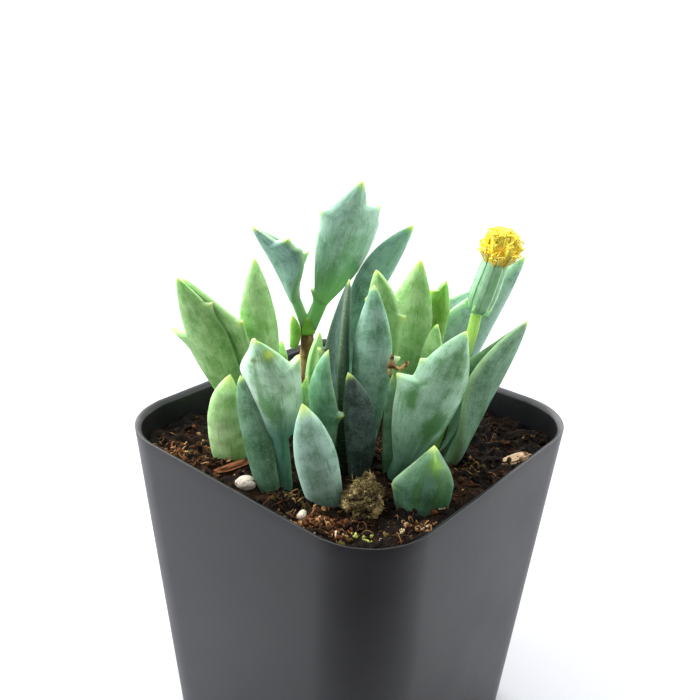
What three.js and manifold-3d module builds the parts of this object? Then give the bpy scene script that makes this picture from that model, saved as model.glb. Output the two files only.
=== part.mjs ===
// Potted spearhead senecio: a clump of Senecio kleiniiformis with one flower in a square nursery pot.
// Millimetres, +Z up. The origin is the middle of the pot's underside, and its walls follow X and Y.
// The plant stands in a group turned about Z, so its places read [across, away, up] as seen from
// the pot's near corner: across to the right, away from the viewer, up from the table.
import * as THREE from 'three';
import { mergeVertices } from 'three/addons/utils/BufferGeometryUtils.js';
import Module from 'manifold-3d';

const wasm = await Module();
wasm.setup();

// Driving dimensions of the pot
const POT_SIDE = 57; // outer width at the rim
const POT_HEIGHT = 62;
const WALL_LEAN = 0.063; // how far each wall leans out for every millimetre of height
const WALL = 1;
const FLOOR = 1.4;
const CORNER_RADIUS = 11;
const CORNER_STEPS = 6;
const BASE_EDGE = 3; // radius of the rounded edge under the walls
const BASE_EDGE_STEPS = 3;
const DRAIN_RADIUS = 3;
const DRAIN_PLACE = 13; // from the middle, along X and along Y

// Driving dimensions of the soil
const SOIL_HEIGHT = 57; // middle of the surface
const SOIL_TILT = 0.045; // the surface rises toward the near corner
const SOIL_EDGE = 55; // lowest place of the surface along the walls
const SOIL_RINGS = 9;
const CRUMB = 0.45; // height of the crumbs and hollows
const GAP = 0.3; // clearance between pieces that touch
const STEM_ROOM = 0.4; // how much wider than a leaf or stem its hole in the soil is
const BIT_ROOM = 0.55; // how much larger than a loose bit its hollow is
const CROWN_FOOT = 50; // heights between which a shoot's crown stands in the soil
const CROWN_TOP = 55.5;
const CROWN_TAPER = 0.8; // share of its radius that a crown keeps at the top

// Driving dimensions of the plant
const PLANT_TURN = THREE.MathUtils.degToRad(39.1);
const LEFT = -1;
const RIGHT = 1;
const LEAF_EDGE = 0.3; // half thickness that a margin keeps
const LEAF_STEPS = [0, 0.14, 0.28, 0.42, 0.55, 0.67, 0.78, 0.88, 0.95];
const LEAF_COLUMNS = [-1, -0.5, 0, 0.5, 1];
const TOOTH_BELOW = 0.07; // share of a leaf's length over which a tooth swells out
const TOOTH_ABOVE = 0.03; // and over which it drops back

// Driving dimensions of the flower head
const HEAD_FOOT = [18.9, 0, 81.8];
const HEAD_TILT = THREE.MathUtils.degToRad(14);
const HEAD_RIBS = 9;
const RIB_DEPTH = 0.05; // share of the head's radius
const BRACT_TIP = 0.5; // how far the bract tips stand above and dip below the rim
const DISC_HEIGHT = 8; // the hollow face of the head
const CORE_HEIGHT = 9.9; // middle of the low core that holds the florets
const CORE_HALF = [2.3, 2.3, 0.9];
const FLORETS = 32;
const FLORET_RADIUS = 0.34;
const FLORET_FOOT = 9.6;
const DISC_RADIUS = 1.75; // florets stand on it
const SPRAY_RADIUS = 3.3; // and spread to here at their mouths
const SPRAY_HEIGHT = 4.4; // the longest floret, in the middle
const SHORT_FLORET = 0.85; // every third one keeps this share of its length
const MOUTH_FLARE = 1.6; // a floret's mouth against its tube

// Materials
const matte = (color, roughness) => new THREE.MeshStandardMaterial({ color, roughness, metalness: 0 });
const blackPlastic = matte('#2b2b2e', 0.45);
const darkPeat = matte('#3a2416', 0.95);
const mossPeat = matte('#4a3d20', 0.95);
const perlite = matte('#d9d2c4', 0.9);
const paleBark = matte('#a98d6c', 0.9);
const redBark = matte('#6a4127', 0.9);
const woodyBrown = matte('#8a5a3c', 0.8);
const glaucousLeaf = matte('#7fae98', 0.6);
const youngLeaf = matte('#8db86a', 0.55);
const darkLeaf = matte('#55776c', 0.6);
const witheredLeaf = matte('#7a5226', 0.85);
const stalkGreen = matte('#a6c94a', 0.5);
const headGreen = matte('#6fb074', 0.55);
const floretYellow = matte('#f2c413', 0.7);

// Points, lofts and boolean joins
const vector = (place) => new THREE.Vector3(...place);

const mix = (from, to, share) => from + (to - from) * share;

const smooth = (share) => THREE.MathUtils.smoothstep(share, 0, 1);

// Skins rings of equal length, in order, and closes both ends on a point
function loft(start, rings, end) {
  const count = rings[0].length;
  const points = [start, ...rings.flat(), end];
  const faces = [];
  const top = 1 + (rings.length - 1) * count;
  for (let side = 0; side < count; side += 1) {
    const next = (side + 1) % count;
    faces.push(0, 1 + next, 1 + side);
    for (let ring = 0; ring + 1 < rings.length; ring += 1) {
      const here = 1 + ring * count;
      const above = here + count;
      faces.push(here + side, here + next, above + next);
      faces.push(here + side, above + next, above + side);
    }
    faces.push(top + side, top + next, points.length - 1);
  }
  const geometry = new THREE.BufferGeometry().setFromPoints(points);
  geometry.setIndex(faces);
  return geometry;
}

function toSolid(geometry, matrix = new THREE.Matrix4()) {
  const placed = geometry.clone().applyMatrix4(matrix);
  return new wasm.Manifold(new wasm.Mesh({
    numProp: 3,
    vertProperties: new Float32Array(placed.attributes.position.array),
    triVerts: new Uint32Array(placed.index.array),
  }));
}

function toGeometry(solid) {
  const { vertProperties, triVerts } = solid.getMesh();
  const geometry = new THREE.BufferGeometry();
  geometry.setAttribute('position', new THREE.BufferAttribute(vertProperties, 3));
  geometry.setIndex(new THREE.BufferAttribute(triVerts, 1));
  geometry.computeVertexNormals();
  return geometry;
}

const join = (solids) => solids.reduce((whole, solid) => whole.add(solid));

const cutAway = (body, tools) => tools.reduce((rest, tool) => rest.subtract(tool), body);

function piece(name, geometry, material) {
  const mesh = new THREE.Mesh(geometry, material);
  mesh.name = name;
  return mesh;
}

// A round bar that follows points, with its own radius at each of them
function rod(places, radii, sides = 8) {
  const curve = new THREE.CatmullRomCurve3(places.map(vector));
  const frames = curve.computeFrenetFrames(radii.length - 1);
  const rings = radii.map((radius, row) => Array.from({ length: sides }, (unused, index) => {
    const angle = 2 * Math.PI * (index / sides);
    return curve.getPointAt(row / (radii.length - 1))
      .addScaledVector(frames.normals[row], radius * Math.cos(angle))
      .addScaledVector(frames.binormals[row], radius * Math.sin(angle));
  }));
  return loft(curve.getPointAt(0), rings, curve.getPointAt(1));
}

// A rough lump: a ball with uneven radius, stretched to its three half sizes
function lump(halfSizes, detail, seed, roughness = 0.14) {
  const ball = new THREE.IcosahedronGeometry(1, detail);
  ball.deleteAttribute('normal');
  ball.deleteAttribute('uv');
  const geometry = mergeVertices(ball);
  const { position } = geometry.attributes;
  const point = new THREE.Vector3();
  for (let index = 0; index < position.count; index += 1) {
    point.fromBufferAttribute(position, index);
    const wave = Math.sin(3.1 * point.x + seed) + Math.sin(3.7 * point.y + 2 * seed)
      + Math.sin(2.9 * point.z + 3 * seed);
    point.multiplyScalar(1 + roughness * wave / 2).multiply(vector(halfSizes));
    position.setXYZ(index, point.x, point.y, point.z);
  }
  return geometry;
}

// The pot: a horizontal square with rounded corners, counterclockwise from above
function roundedSquare(halfSide, radius, height) {
  const ring = [];
  const inset = (halfSide - radius) * Math.SQRT2;
  for (let corner = 0; corner < 4; corner += 1) {
    const middle = Math.PI / 4 + corner * Math.PI / 2;
    for (let step = 0; step <= CORNER_STEPS; step += 1) {
      const angle = middle + mix(-Math.PI / 4, Math.PI / 4, step / CORNER_STEPS);
      ring.push(new THREE.Vector3(
        inset * Math.cos(middle) + radius * Math.cos(angle),
        inset * Math.sin(middle) + radius * Math.sin(angle),
        height,
      ));
    }
  }
  return ring;
}

const potHalf = (height) => POT_SIDE / 2 - (POT_HEIGHT - height) * WALL_LEAN;

// The underside rounds into the walls over a quarter circle
function baseEdge(floor, inset) {
  const rings = [];
  for (let step = 0; step <= BASE_EDGE_STEPS; step += 1) {
    const angle = (Math.PI / 2) * (step / BASE_EDGE_STEPS);
    const rise = BASE_EDGE * (1 - Math.cos(angle));
    const draw = inset + BASE_EDGE * (1 - Math.sin(angle));
    rings.push(roundedSquare(potHalf(floor + rise) - draw, CORNER_RADIUS - draw, floor + rise));
  }
  return rings;
}

function potSolid() {
  const rimOuter = roundedSquare(POT_SIDE / 2, CORNER_RADIUS, POT_HEIGHT);
  const rimInner = roundedSquare(POT_SIDE / 2 - WALL, CORNER_RADIUS - WALL, POT_HEIGHT);
  const outside = [...baseEdge(0, 0), rimOuter];
  const inside = [rimInner, ...baseEdge(FLOOR, WALL).reverse()];
  const shell = loft(vector([0, 0, 0]), [...outside, ...inside], vector([0, 0, FLOOR]));
  const holes = [];
  for (const x of [-DRAIN_PLACE, DRAIN_PLACE]) {
    for (const y of [-DRAIN_PLACE, DRAIN_PLACE]) {
      holes.push(toSolid(rod([[x, y, -FLOOR], [x, y, 2 * FLOOR]], [DRAIN_RADIUS, DRAIN_RADIUS], 16)));
    }
  }
  return cutAway(toSolid(shell), holes);
}

// Leaves
// root, mid and tip are points of the leaf's rib, as [across, away, up]
// back is the way the rounded back faces, in degrees: 0 toward the viewer, 90 to the right
// half is the widest half blade in mm, left then right, with the back toward the viewer
// stalk is the half width at the root, neck and widest are shares of the length
// flare over 1 keeps the foot slender, point over 1 fills out the tip
// crease folds both halves in at the rib and cup is how far each then curls, in degrees
// thick is the blade's thickness
const SPEARHEAD = {
  stalk: 1.1, neck: 0.15, widest: 0.68, flare: 1.2, point: 1.15, crease: 0, cup: 60, thick: 1.7, teeth: [],
};
const POD = {
  stalk: 1.9, neck: 0, widest: 0.5, flare: 0.8, point: 1.9, crease: 0, cup: 40, thick: 3, teeth: [],
};

// A tooth on one margin: its place along the leaf, how far it stands out, how far it points up
// and the share of the width that is cut away above it
const tooth = (side, at, out, rise = 0.5, cut = 0) => ({ side, at, out, rise, cut });

// The rib is the curve through root, mid and tip
function leafRib(leaf) {
  const [root, mid, tip] = [leaf.root, leaf.mid, leaf.tip].map(vector);
  const control = mid.multiplyScalar(2).addScaledVector(root, -0.5).addScaledVector(tip, -0.5);
  return new THREE.QuadraticBezierCurve3(root, control, tip);
}

const teethOf = (leaf, side) => leaf.teeth.filter((spike) => spike.side === side);

function halfWidth(leaf, side, share) {
  const full = leaf.half[side === LEFT ? 0 : 1];
  const kept = teethOf(leaf, side).reduce((rest, { at, cut }) => (share > at ? rest * (1 - cut) : rest), 1);
  if (share < leaf.widest) {
    const swell = THREE.MathUtils.clamp((share - leaf.neck) / (leaf.widest - leaf.neck), 0, 1);
    return kept * mix(leaf.stalk, full, Math.sin(swell * Math.PI / 2) ** leaf.flare);
  }
  return kept * full * (1 - ((share - leaf.widest) / (1 - leaf.widest)) ** leaf.point);
}

// How strongly a tooth shows at a place along the leaf, from 0 to 1
function toothShare(spike, share) {
  const reach = share < spike.at ? TOOTH_BELOW : TOOTH_ABOVE;
  return Math.max(0, 1 - Math.abs(share - spike.at) / reach);
}

// One section of a leaf: its back from the left margin to the right, then its hollow face
function leafRing(leaf, share, extra) {
  const rib = leafRib(leaf);
  const along = rib.getTangent(share);
  const facing = THREE.MathUtils.degToRad(leaf.back);
  const out = new THREE.Vector3(Math.sin(facing), -Math.cos(facing), 0);
  out.addScaledVector(along, -out.dot(along)).normalize();
  const right = along.clone().cross(out);
  const fullness = Math.sqrt(1 - share ** 6);
  const opened = smooth(share / leaf.widest);
  const body = fullness * mix(2 * leaf.stalk, leaf.thick, opened);
  const crease = THREE.MathUtils.degToRad(leaf.crease) * opened;
  const curl = Math.max(THREE.MathUtils.degToRad(leaf.cup) * opened, 0.01);
  const sink = share === 0 ? extra : 0;
  const skin = (column, face) => {
    const side = Math.sign(column) || RIGHT;
    const reach = Math.abs(column);
    const onMargin = reach === 1;
    const spikes = onMargin ? teethOf(leaf, side) : [];
    const jut = spikes.reduce((sum, spike) => sum + spike.out * toothShare(spike, share), 0);
    const rise = spikes.reduce((sum, spike) => sum + spike.rise * toothShare(spike, share), 0);
    const width = halfWidth(leaf, side, share) + jut + extra;
    const depth = onMargin ? 0 : LEAF_EDGE + (body / 2 - LEAF_EDGE) * Math.sqrt(1 - reach ** 3) + extra;
    const angle = crease + curl * reach;
    const normal = out.clone().multiplyScalar(Math.cos(angle)).addScaledVector(right, side * Math.sin(angle));
    return rib.getPoint(share)
      .addScaledVector(right, side * width * (Math.sin(angle) - Math.sin(crease)) / curl)
      .addScaledVector(out, width * (Math.cos(angle) - Math.cos(crease)) / curl)
      .addScaledVector(normal, face * depth)
      .addScaledVector(along, rise - sink);
  };
  const back = LEAF_COLUMNS.map((column) => skin(column, 1));
  const front = LEAF_COLUMNS.slice(1, -1).reverse().map((column) => skin(column, -1));
  return [...back, ...front];
}

// The rows of a leaf: the common ones, with those near a tooth moved onto it
function leafRows(leaf) {
  const onTeeth = leaf.teeth.flatMap(({ at }) => [at - TOOTH_BELOW, at, at + TOOTH_ABOVE]);
  const common = LEAF_STEPS.filter((row) => onTeeth.every((other) => Math.abs(row - other) > TOOTH_ABOVE));
  return [...new Set([...common, ...onTeeth])].sort((a, b) => a - b);
}

function leafSolid(leaf, extra) {
  const rib = leafRib(leaf);
  const rings = leafRows(leaf).map((row) => leafRing(leaf, row, extra));
  const root = rib.getPoint(0).addScaledVector(rib.getTangent(0), -extra);
  const tip = rib.getPoint(1).addScaledVector(rib.getTangent(1), extra);
  return toSolid(loft(root, rings, tip));
}

// Leafy shoots: each has a short crown, mostly in the soil, that its leaves spring from
const leafyShoots = {
  left_shoot: {
    material: youngLeaf,
    crown: { at: [-15.5, 3.4], radius: 2.3 },
    leaves: [
      { ...SPEARHEAD, root: [-16.2, 3, 54], mid: [-22.6, 1, 71.5], tip: [-28.4, 0, 85.6], back: -20,
        half: [6, 3.4], widest: 0.62, point: 1.5, cup: 40,
        teeth: [tooth(LEFT, 0.62, 3.4, 1.8, 0.2), tooth(RIGHT, 0.78, 1)] },
      { ...SPEARHEAD, root: [-15.6, 3.8, 54], mid: [-21.5, 2.8, 71.5], tip: [-28, 1.3, 85], back: 165,
        half: [6.4, 3], cup: 30, widest: 0.68, point: 0.8, teeth: [tooth(LEFT, 0.66, 0.7)] },
      { ...POD, root: [-14.2, 3, 54], mid: [-15.8, 3, 72], tip: [-16.6, 3, 88.3], back: 10,
        half: [3.2, 3.2], stalk: 1.4, widest: 0.6, point: 1.7, thick: 2.6 },
      { ...POD, root: [-14.8, 4.6, 54], mid: [-13.4, 7.4, 63], tip: [-13, 10, 71.6], back: 20,
        half: [1.9, 1.9], stalk: 1.2, thick: 2 },
    ],
  },
  tall_crown: {
    material: youngLeaf,
    crown: { at: [-8.4, 8], radius: 1.5, foot: 73.9, top: 77 },
    leaves: [
      { ...SPEARHEAD, root: [-8.6, 8, 75], mid: [-12.6, 7.5, 84.2], tip: [-17.5, 7, 92.4], back: -90,
        half: [6.2, 6.2], stalk: 1, neck: 0.25, widest: 0.66, flare: 1.3, crease: 45, cup: 40, point: 1,
        teeth: [tooth(LEFT, 0.54, 0.7, 0.2, 0.35), tooth(RIGHT, 0.77, 1, 0.3, 0.3)] },
      { ...SPEARHEAD, root: [-8, 8, 75], mid: [-4, 8, 86.6], tip: [0, 8, 100.2], back: 18,
        half: [4.6, 8.2], stalk: 1.2, neck: 0.2, widest: 0.76, flare: 1.3, point: 1, crease: 12, cup: 45,
        teeth: [tooth(LEFT, 0.75, 0.9, 0.3), tooth(RIGHT, 0.84, 1.8, 0.9, 0.4), tooth(LEFT, 0.26, 0.9)] },
      { ...POD, root: [-10.7, 7.1, 71.4], mid: [-10.3, 7, 74.4], tip: [-10.9, 6.6, 77.6], back: -20,
        half: [0.9, 0.9], stalk: 0.6, thick: 1.4 },
    ],
  },
  back_shoot: {
    material: glaucousLeaf,
    crown: { at: [0, 7.5], radius: 2.2 },
    leaves: [
      { ...SPEARHEAD, root: [-0.4, 7.8, 54], mid: [-0.8, 9.2, 74], tip: [8.7, 11, 92.6], back: 20,
        half: [3, 3.3], stalk: 1.1, neck: 0.4, widest: 0.76, flare: 0.9, point: 2 },
      { ...SPEARHEAD, root: [1, 8, 54], mid: [4.4, 13.6, 64], tip: [6.5, 17.5, 75], back: 150,
        half: [3.6, 3.6], teeth: [tooth(LEFT, 0.66, 0.8), tooth(RIGHT, 0.64, 0.7)] },
      { ...POD, root: [-0.8, 8.2, 54], mid: [-3.2, 14, 61], tip: [-4.4, 17, 69], back: 190,
        half: [2.3, 2.3], stalk: 1.3, thick: 2.2 },
    ],
  },
  front_left_shoot: {
    material: glaucousLeaf,
    crown: { at: [-10.5, -16], radius: 1.9 },
    leaves: [
      { ...SPEARHEAD, root: [-9.6, -15.8, 54], mid: [-11, -16.2, 70.5], tip: [-13.8, -17.8, 82.8], back: -12,
        half: [6.8, 5.8], widest: 0.76, neck: 0.36, flare: 0.8, point: 1.5, crease: 8,
        teeth: [tooth(RIGHT, 0.8, 0.8, 1, 0.15)] },
      { ...SPEARHEAD, root: [-11, -16.2, 54], mid: [-14.4, -15.6, 66], tip: [-16.6, -14, 75.6], back: -25,
        half: [2.5, 2.7], stalk: 1.3, neck: 0, widest: 0.6, flare: 0.9, point: 1.6 },
    ],
  },
  young_leaf_left: {
    material: youngLeaf,
    crown: { at: [-19.2, -6], radius: 1.6 },
    leaves: [
      { ...POD, root: [-19.2, -6, 54], mid: [-20.1, -6.5, 64.2], tip: [-19.4, -6, 72], back: 0,
        half: [3, 3], stalk: 2.1, widest: 0.45, thick: 3.2 },
    ],
  },
  young_leaf_front: {
    material: glaucousLeaf,
    crown: { at: [-2.7, -18.4], radius: 1.5 },
    leaves: [
      { ...POD, root: [-2.7, -18.6, 54], mid: [-4.9, -19.8, 65], tip: [-7.2, -19, 74], back: 10,
        half: [3, 3], stalk: 1.7, widest: 0.5, thick: 3 },
      { ...POD, root: [-3.6, -17.8, 54], mid: [-6, -17.2, 59], tip: [-6.8, -17.2, 64], back: -10,
        half: [1.1, 1.1], stalk: 1, thick: 1.4 },
    ],
  },
  centre_shoot: {
    material: darkLeaf,
    crown: { at: [0, -9.4], radius: 3.2 },
    leaves: [
      { ...SPEARHEAD, root: [0.8, -10.8, 54], mid: [1.1, -12.8, 66], tip: [-1, -14, 76.8], back: 5,
        half: [2.3, 2.8], stalk: 1.4, widest: 0.6, point: 1.7, thick: 1.6 },
      { ...SPEARHEAD, root: [1.4, -9, 54], mid: [2.3, -10, 74], tip: [2.3, -9, 88.6], back: -8,
        half: [3.3, 3.2], stalk: 1.4, widest: 0.64, point: 1.4, teeth: [tooth(RIGHT, 0.58, 1.8, 0.6)] },
      { ...SPEARHEAD, root: [-1, -8.4, 54], mid: [-2, -8, 73], tip: [-1.4, -6, 88.4], back: 115,
        half: [3.4, 3.6], stalk: 1.4, widest: 0.6, point: 1.3, teeth: [tooth(RIGHT, 0.6, 1.6)] },
      { ...SPEARHEAD, root: [-1.8, -7.6, 54], mid: [-5.6, -5, 68], tip: [-5.7, -3, 78.6], back: 165,
        half: [1.8, 1.8], stalk: 1.1, widest: 0.6, point: 1.6, thick: 1.3 },
      { ...SPEARHEAD, root: [1, -7.6, 54], mid: [3.4, -4.6, 74], tip: [2.6, -3, 89], back: -150,
        half: [3.4, 3.6], stalk: 1.3, widest: 0.68, point: 2,
        teeth: [tooth(LEFT, 0.72, 1, 0.6), tooth(RIGHT, 0.84, 1, 0.6)] },
      { ...SPEARHEAD, root: [-2.4, -10, 54], mid: [-5.4, -11.6, 67.5], tip: [-3.9, -12, 79.4], back: -45,
        half: [3.4, 3.6], stalk: 1.5, widest: 0.58, point: 1.2, teeth: [tooth(RIGHT, 0.56, 1.2)] },
      { ...POD, root: [-2.8, -10.6, 54], mid: [-7, -12.8, 66], tip: [-6.9, -13.6, 75.8], back: 0,
        half: [1.1, 1.1], stalk: 0.9, thick: 1.2 },
    ],
  },
  right_shoot: {
    material: glaucousLeaf,
    crown: { at: [7.6, -9.6], radius: 2.6 },
    leaves: [
      { ...SPEARHEAD, root: [7.4, -10.4, 54], mid: [10.8, -13, 71], tip: [16, -10.6, 82.6], back: 10,
        half: [6.8, 7.5], stalk: 1.8, neck: 0.1, widest: 0.6, flare: 1.1, point: 1.35, cup: 55,
        teeth: [tooth(LEFT, 0.58, 0.8, 0, 0.3), tooth(LEFT, 0.72, 0.7, 0.3)] },
      { ...SPEARHEAD, root: [8.6, -8.4, 54], mid: [10.6, -5, 71], tip: [12.5, -4, 81], back: -60,
        half: [2.6, 2.6], widest: 0.66, point: 1.5, thick: 1.4 },
      { ...POD, root: [6.2, -9.8, 54], mid: [5.6, -11.4, 66], tip: [5.6, -11.4, 75.6], back: 0,
        half: [0.9, 0.9], stalk: 0.9, thick: 1.2 },
    ],
  },
  back_right_shoot: {
    material: youngLeaf,
    crown: { at: [9.6, 1], radius: 2.4 },
    leaves: [
      { ...SPEARHEAD, root: [8.8, 0.4, 54], mid: [8.5, 0, 74], tip: [9.5, 0, 90], back: 0,
        half: [4.1, 3.5], stalk: 1.3, widest: 0.68, point: 1.4, thick: 2, cup: 45,
        teeth: [tooth(LEFT, 0.74, 0.4, 0.2)] },
      { ...SPEARHEAD, root: [10.2, 1.4, 54], mid: [12.2, 2.4, 73], tip: [13.9, 2.2, 86.1], back: 170,
        half: [1.7, 2.8], stalk: 1.1, widest: 0.8, point: 1, thick: 1.5,
        teeth: [tooth(RIGHT, 0.89, 0.9, 0.6)] },
      { ...SPEARHEAD, root: [10.6, 2, 54], mid: [15.8, 5.5, 70], tip: [22.5, 7, 84.2], back: 90,
        half: [6.6, 6.6], stalk: 1.2, neck: 0.1, widest: 0.74, point: 1.3, crease: 38, cup: 35,
        teeth: [tooth(RIGHT, 0.78, 0.6, 0.4)] },
      { ...SPEARHEAD, root: [11.4, 1.6, 54], mid: [19.2, 5.6, 72.5], tip: [26.8, 7, 89.2], back: 30,
        half: [4.2, 2.4], stalk: 1.2, neck: 0.2, widest: 0.66, point: 1.9, thick: 1.6 },
    ],
  },
  leaning_shoot: {
    material: glaucousLeaf,
    crown: { at: [15.2, -1], radius: 2.8 },
    leaves: [
      { ...SPEARHEAD, root: [14.8, -2.2, 54], mid: [21.7, -2.4, 68], tip: [27.4, 2, 80], back: 90,
        half: [7, 6.7], stalk: 1.5, neck: 0, widest: 0.58, flare: 0.9, point: 1.5, crease: 30, cup: 40 },
    ],
  },
  young_leaf_right: {
    material: youngLeaf,
    crown: { at: [10.4, -19.6], radius: 2.2 },
    leaves: [
      { ...POD, root: [10.4, -19.8, 53], mid: [11.4, -20.4, 61.4], tip: [12, -19, 68], back: 15,
        half: [5.2, 4.2], stalk: 3.2, widest: 0.55, flare: 0.6, point: 1.4, thick: 3.8, cup: 55 },
    ],
  },
};

function crownSolid({ at, radius, foot = CROWN_FOOT, top = CROWN_TOP }, extra) {
  const ends = [[...at, foot - extra], [...at, top + extra]];
  return toSolid(rod(ends, [radius + extra, radius * CROWN_TAPER + extra]));
}

function shootSolid({ crown, leaves }, extra = 0) {
  return join([crownSolid(crown, extra), ...leaves.map((leaf) => leafSolid(leaf, extra))]);
}

// Plain stems: the woody one under the tall crown and the green one under the flower
const stems = {
  woody_stem: {
    material: woodyBrown,
    places: [[-8.4, 8, 50], [-8.6, 8, 62], [-8.4, 8, 73.6]],
    radii: [1.1, 1.1, 1.05, 1.05],
  },
  flower_stalk: {
    material: stalkGreen,
    places: [[10.9, -4.2, 50], [15.3, -2.8, 66], [18, -1, 77], [18.85, 0.05, 81.3]],
    radii: [1, 1, 0.95, 0.9, 0.9, 0.9],
  },
};

function stemSolid({ places, radii }, extra = 0) {
  const [[x, y, foot], ...above] = places;
  return toSolid(rod([[x, y, foot - extra], ...above], radii.map((radius) => radius + extra)));
}

// The flower head, upright at its own foot: a ribbed cup of bracts with small ones round its foot
const headProfile = [[0, 0.9], [0.3, 1.5], [1.2, 1.95], [3, 2.3], [5.5, 2.3], [7.6, 2.15], [8.2, 2.05]];
const footBractProfile = [[0.8, 0.4], [1.9, 0.5], [2.35, 1.5]];
const footBractRadii = [0.45, 0.4, 0.12];
const footBractAngles = [0.3, 1.6, 2.8, 4.2, 5.3];

function headSolid() {
  const sides = HEAD_RIBS * 2;
  const rings = headProfile.map(([height, radius]) => Array.from({ length: sides }, (unused, index) => {
    const angle = 2 * Math.PI * (index / sides);
    const ribbed = radius * (1 + RIB_DEPTH * Math.cos(HEAD_RIBS * angle));
    const tipped = height > DISC_HEIGHT ? BRACT_TIP * Math.cos(HEAD_RIBS * angle) : 0;
    return new THREE.Vector3(ribbed * Math.cos(angle), ribbed * Math.sin(angle), height + tipped);
  }));
  const cup = toSolid(loft(vector([0, 0, 0]), rings, vector([0, 0, DISC_HEIGHT])));
  const footBracts = footBractAngles.map((angle) => {
    const place = ([radius, height]) => [radius * Math.cos(angle), radius * Math.sin(angle), height];
    return toSolid(rod(footBractProfile.map(place), footBractRadii, 5));
  });
  return join([cup, ...footBracts]);
}

// Florets: slender tubes with flared mouths, spread in a spiral over a low core
function floretSolid() {
  const goldenAngle = Math.PI * (3 - Math.sqrt(5));
  const core = toSolid(lump(CORE_HALF, 1, 0, 0), new THREE.Matrix4().makeTranslation(0, 0, CORE_HEIGHT));
  const floretRadii = [FLORET_RADIUS, FLORET_RADIUS, MOUTH_FLARE * FLORET_RADIUS];
  const tubes = Array.from({ length: FLORETS }, (unused, index) => {
    const share = Math.sqrt((index + 0.5) / FLORETS);
    const turn = index * goldenAngle;
    const place = (radius, height) => [radius * Math.cos(turn), radius * Math.sin(turn), height];
    const foot = place(DISC_RADIUS * share, FLORET_FOOT);
    const rise = SPRAY_HEIGHT * (1 - share ** 3 / 2) * (index % 3 === 1 ? SHORT_FLORET : 1);
    const mouth = place(SPRAY_RADIUS * share, FLORET_FOOT + rise);
    return toSolid(rod([foot, mouth], floretRadii, 4));
  });
  return join([core, ...tubes]);
}

// The plant's group, turned so that its viewer stands at the pot's near corner
const plant = new THREE.Group();
plant.rotation.z = PLANT_TURN;
const pockets = [];

plant.updateMatrix();
for (const [name, shoot] of Object.entries(leafyShoots)) {
  plant.add(piece(name, toGeometry(shootSolid(shoot)), shoot.material));
  pockets.push(toSolid(toGeometry(shootSolid(shoot, STEM_ROOM)), plant.matrix));
}
for (const [name, stem] of Object.entries(stems)) {
  plant.add(piece(name, toGeometry(stemSolid(stem)), stem.material));
  pockets.push(toSolid(toGeometry(stemSolid(stem, STEM_ROOM)), plant.matrix));
}

const flower = new THREE.Group();
flower.position.set(...HEAD_FOOT);
flower.rotation.y = HEAD_TILT;
flower.add(piece('flower_bracts', toGeometry(headSolid()), headGreen));
flower.add(piece('florets', toGeometry(floretSolid()), floretYellow));
plant.add(flower);

// The dry brown tip curls over the thin leaf beside the big one
const witheredPlaces = [
  [5.5, -10.9, 78.2], [5.5, -10.9, 77.2], [6.05, -10.8, 76.4], [6.9, -10.7, 76.35], [7.55, -10.7, 76.9],
  [7.6, -10.7, 77.5],
];
const witheredRadii = [0.22, 0.3, 0.33, 0.33, 0.32, 0.33, 0.33, 0.24];
plant.add(piece('withered_tip', rod(witheredPlaces, witheredRadii, 6), witheredLeaf));

// Loose bits that lie in hollows of the soil, with their three half sizes, placed as [x, y, z] in the pot
const bits = {
  peat_clump: { half: [3.9, 4.2, 4.1], detail: 2, turn: 0.4, place: [15, -14.8, 60.4], material: mossPeat },
  perlite_1: { half: [1.8, 1.3, 1.1], detail: 1, turn: 0.6, place: [-2.1, -22.4, 58.5], material: perlite },
  perlite_2: { half: [0.8, 0.7, 0.6], detail: 1, turn: 1, place: [5, -22.9, 58.5], material: perlite },
  perlite_3: { half: [0.9, 0.7, 0.6], detail: 1, turn: 2, place: [9.8, -22.6, 58.6], material: perlite },
  perlite_4: { half: [0.8, 0.7, 0.6], detail: 1, turn: 0, place: [22.4, -19.6, 58.4], material: perlite },
  bark_chip_right: { half: [3.6, 1.1, 0.6], detail: 1, turn: 1.3, place: [22.8, 15, 57], material: paleBark },
  bark_chip_left: {
    half: [3.8, 0.9, 0.6], detail: 1, turn: 1.4, place: [-7.8, -19.5, 58], material: redBark,
  },
};

let seed = 1;
for (const [name, bit] of Object.entries(bits)) {
  const mesh = piece(name, lump(bit.half, bit.detail, seed), bit.material);
  mesh.position.set(...bit.place);
  mesh.rotation.z = bit.turn;
  mesh.updateMatrix();
  const pocket = lump(bit.half.map((half) => half + BIT_ROOM), bit.detail, seed);
  pockets.push(toSolid(pocket, mesh.matrix));
  bit.mesh = mesh;
  seed += 1;
}

// The soil fills the pot to a tilted, crumbly surface
function soilHeight(x, y) {
  const toward = x * Math.sin(PLANT_TURN) - y * Math.cos(PLANT_TURN);
  const crumbs = Math.sin(0.8 * x + 1) * Math.cos(0.7 * y) + 0.6 * Math.sin(1.7 * x - 1.3 * y)
    + 0.4 * Math.cos(2.3 * y + 0.9 * x);
  return SOIL_HEIGHT + SOIL_TILT * toward + CRUMB * crumbs;
}

function soilSolid() {
  const inset = WALL + GAP;
  const edge = roundedSquare(potHalf(SOIL_EDGE) - inset, CORNER_RADIUS - inset, 0);
  const rings = baseEdge(FLOOR + GAP, inset);
  for (let ring = SOIL_RINGS; ring > 0; ring -= 1) {
    rings.push(edge.map((point) => {
      const [x, y] = [point.x * (ring / SOIL_RINGS), point.y * (ring / SOIL_RINGS)];
      return new THREE.Vector3(x, y, soilHeight(x, y));
    }));
  }
  const body = loft(vector([0, 0, FLOOR + GAP]), rings, new THREE.Vector3(0, 0, soilHeight(0, 0)));
  return cutAway(toSolid(body), pockets);
}

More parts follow.
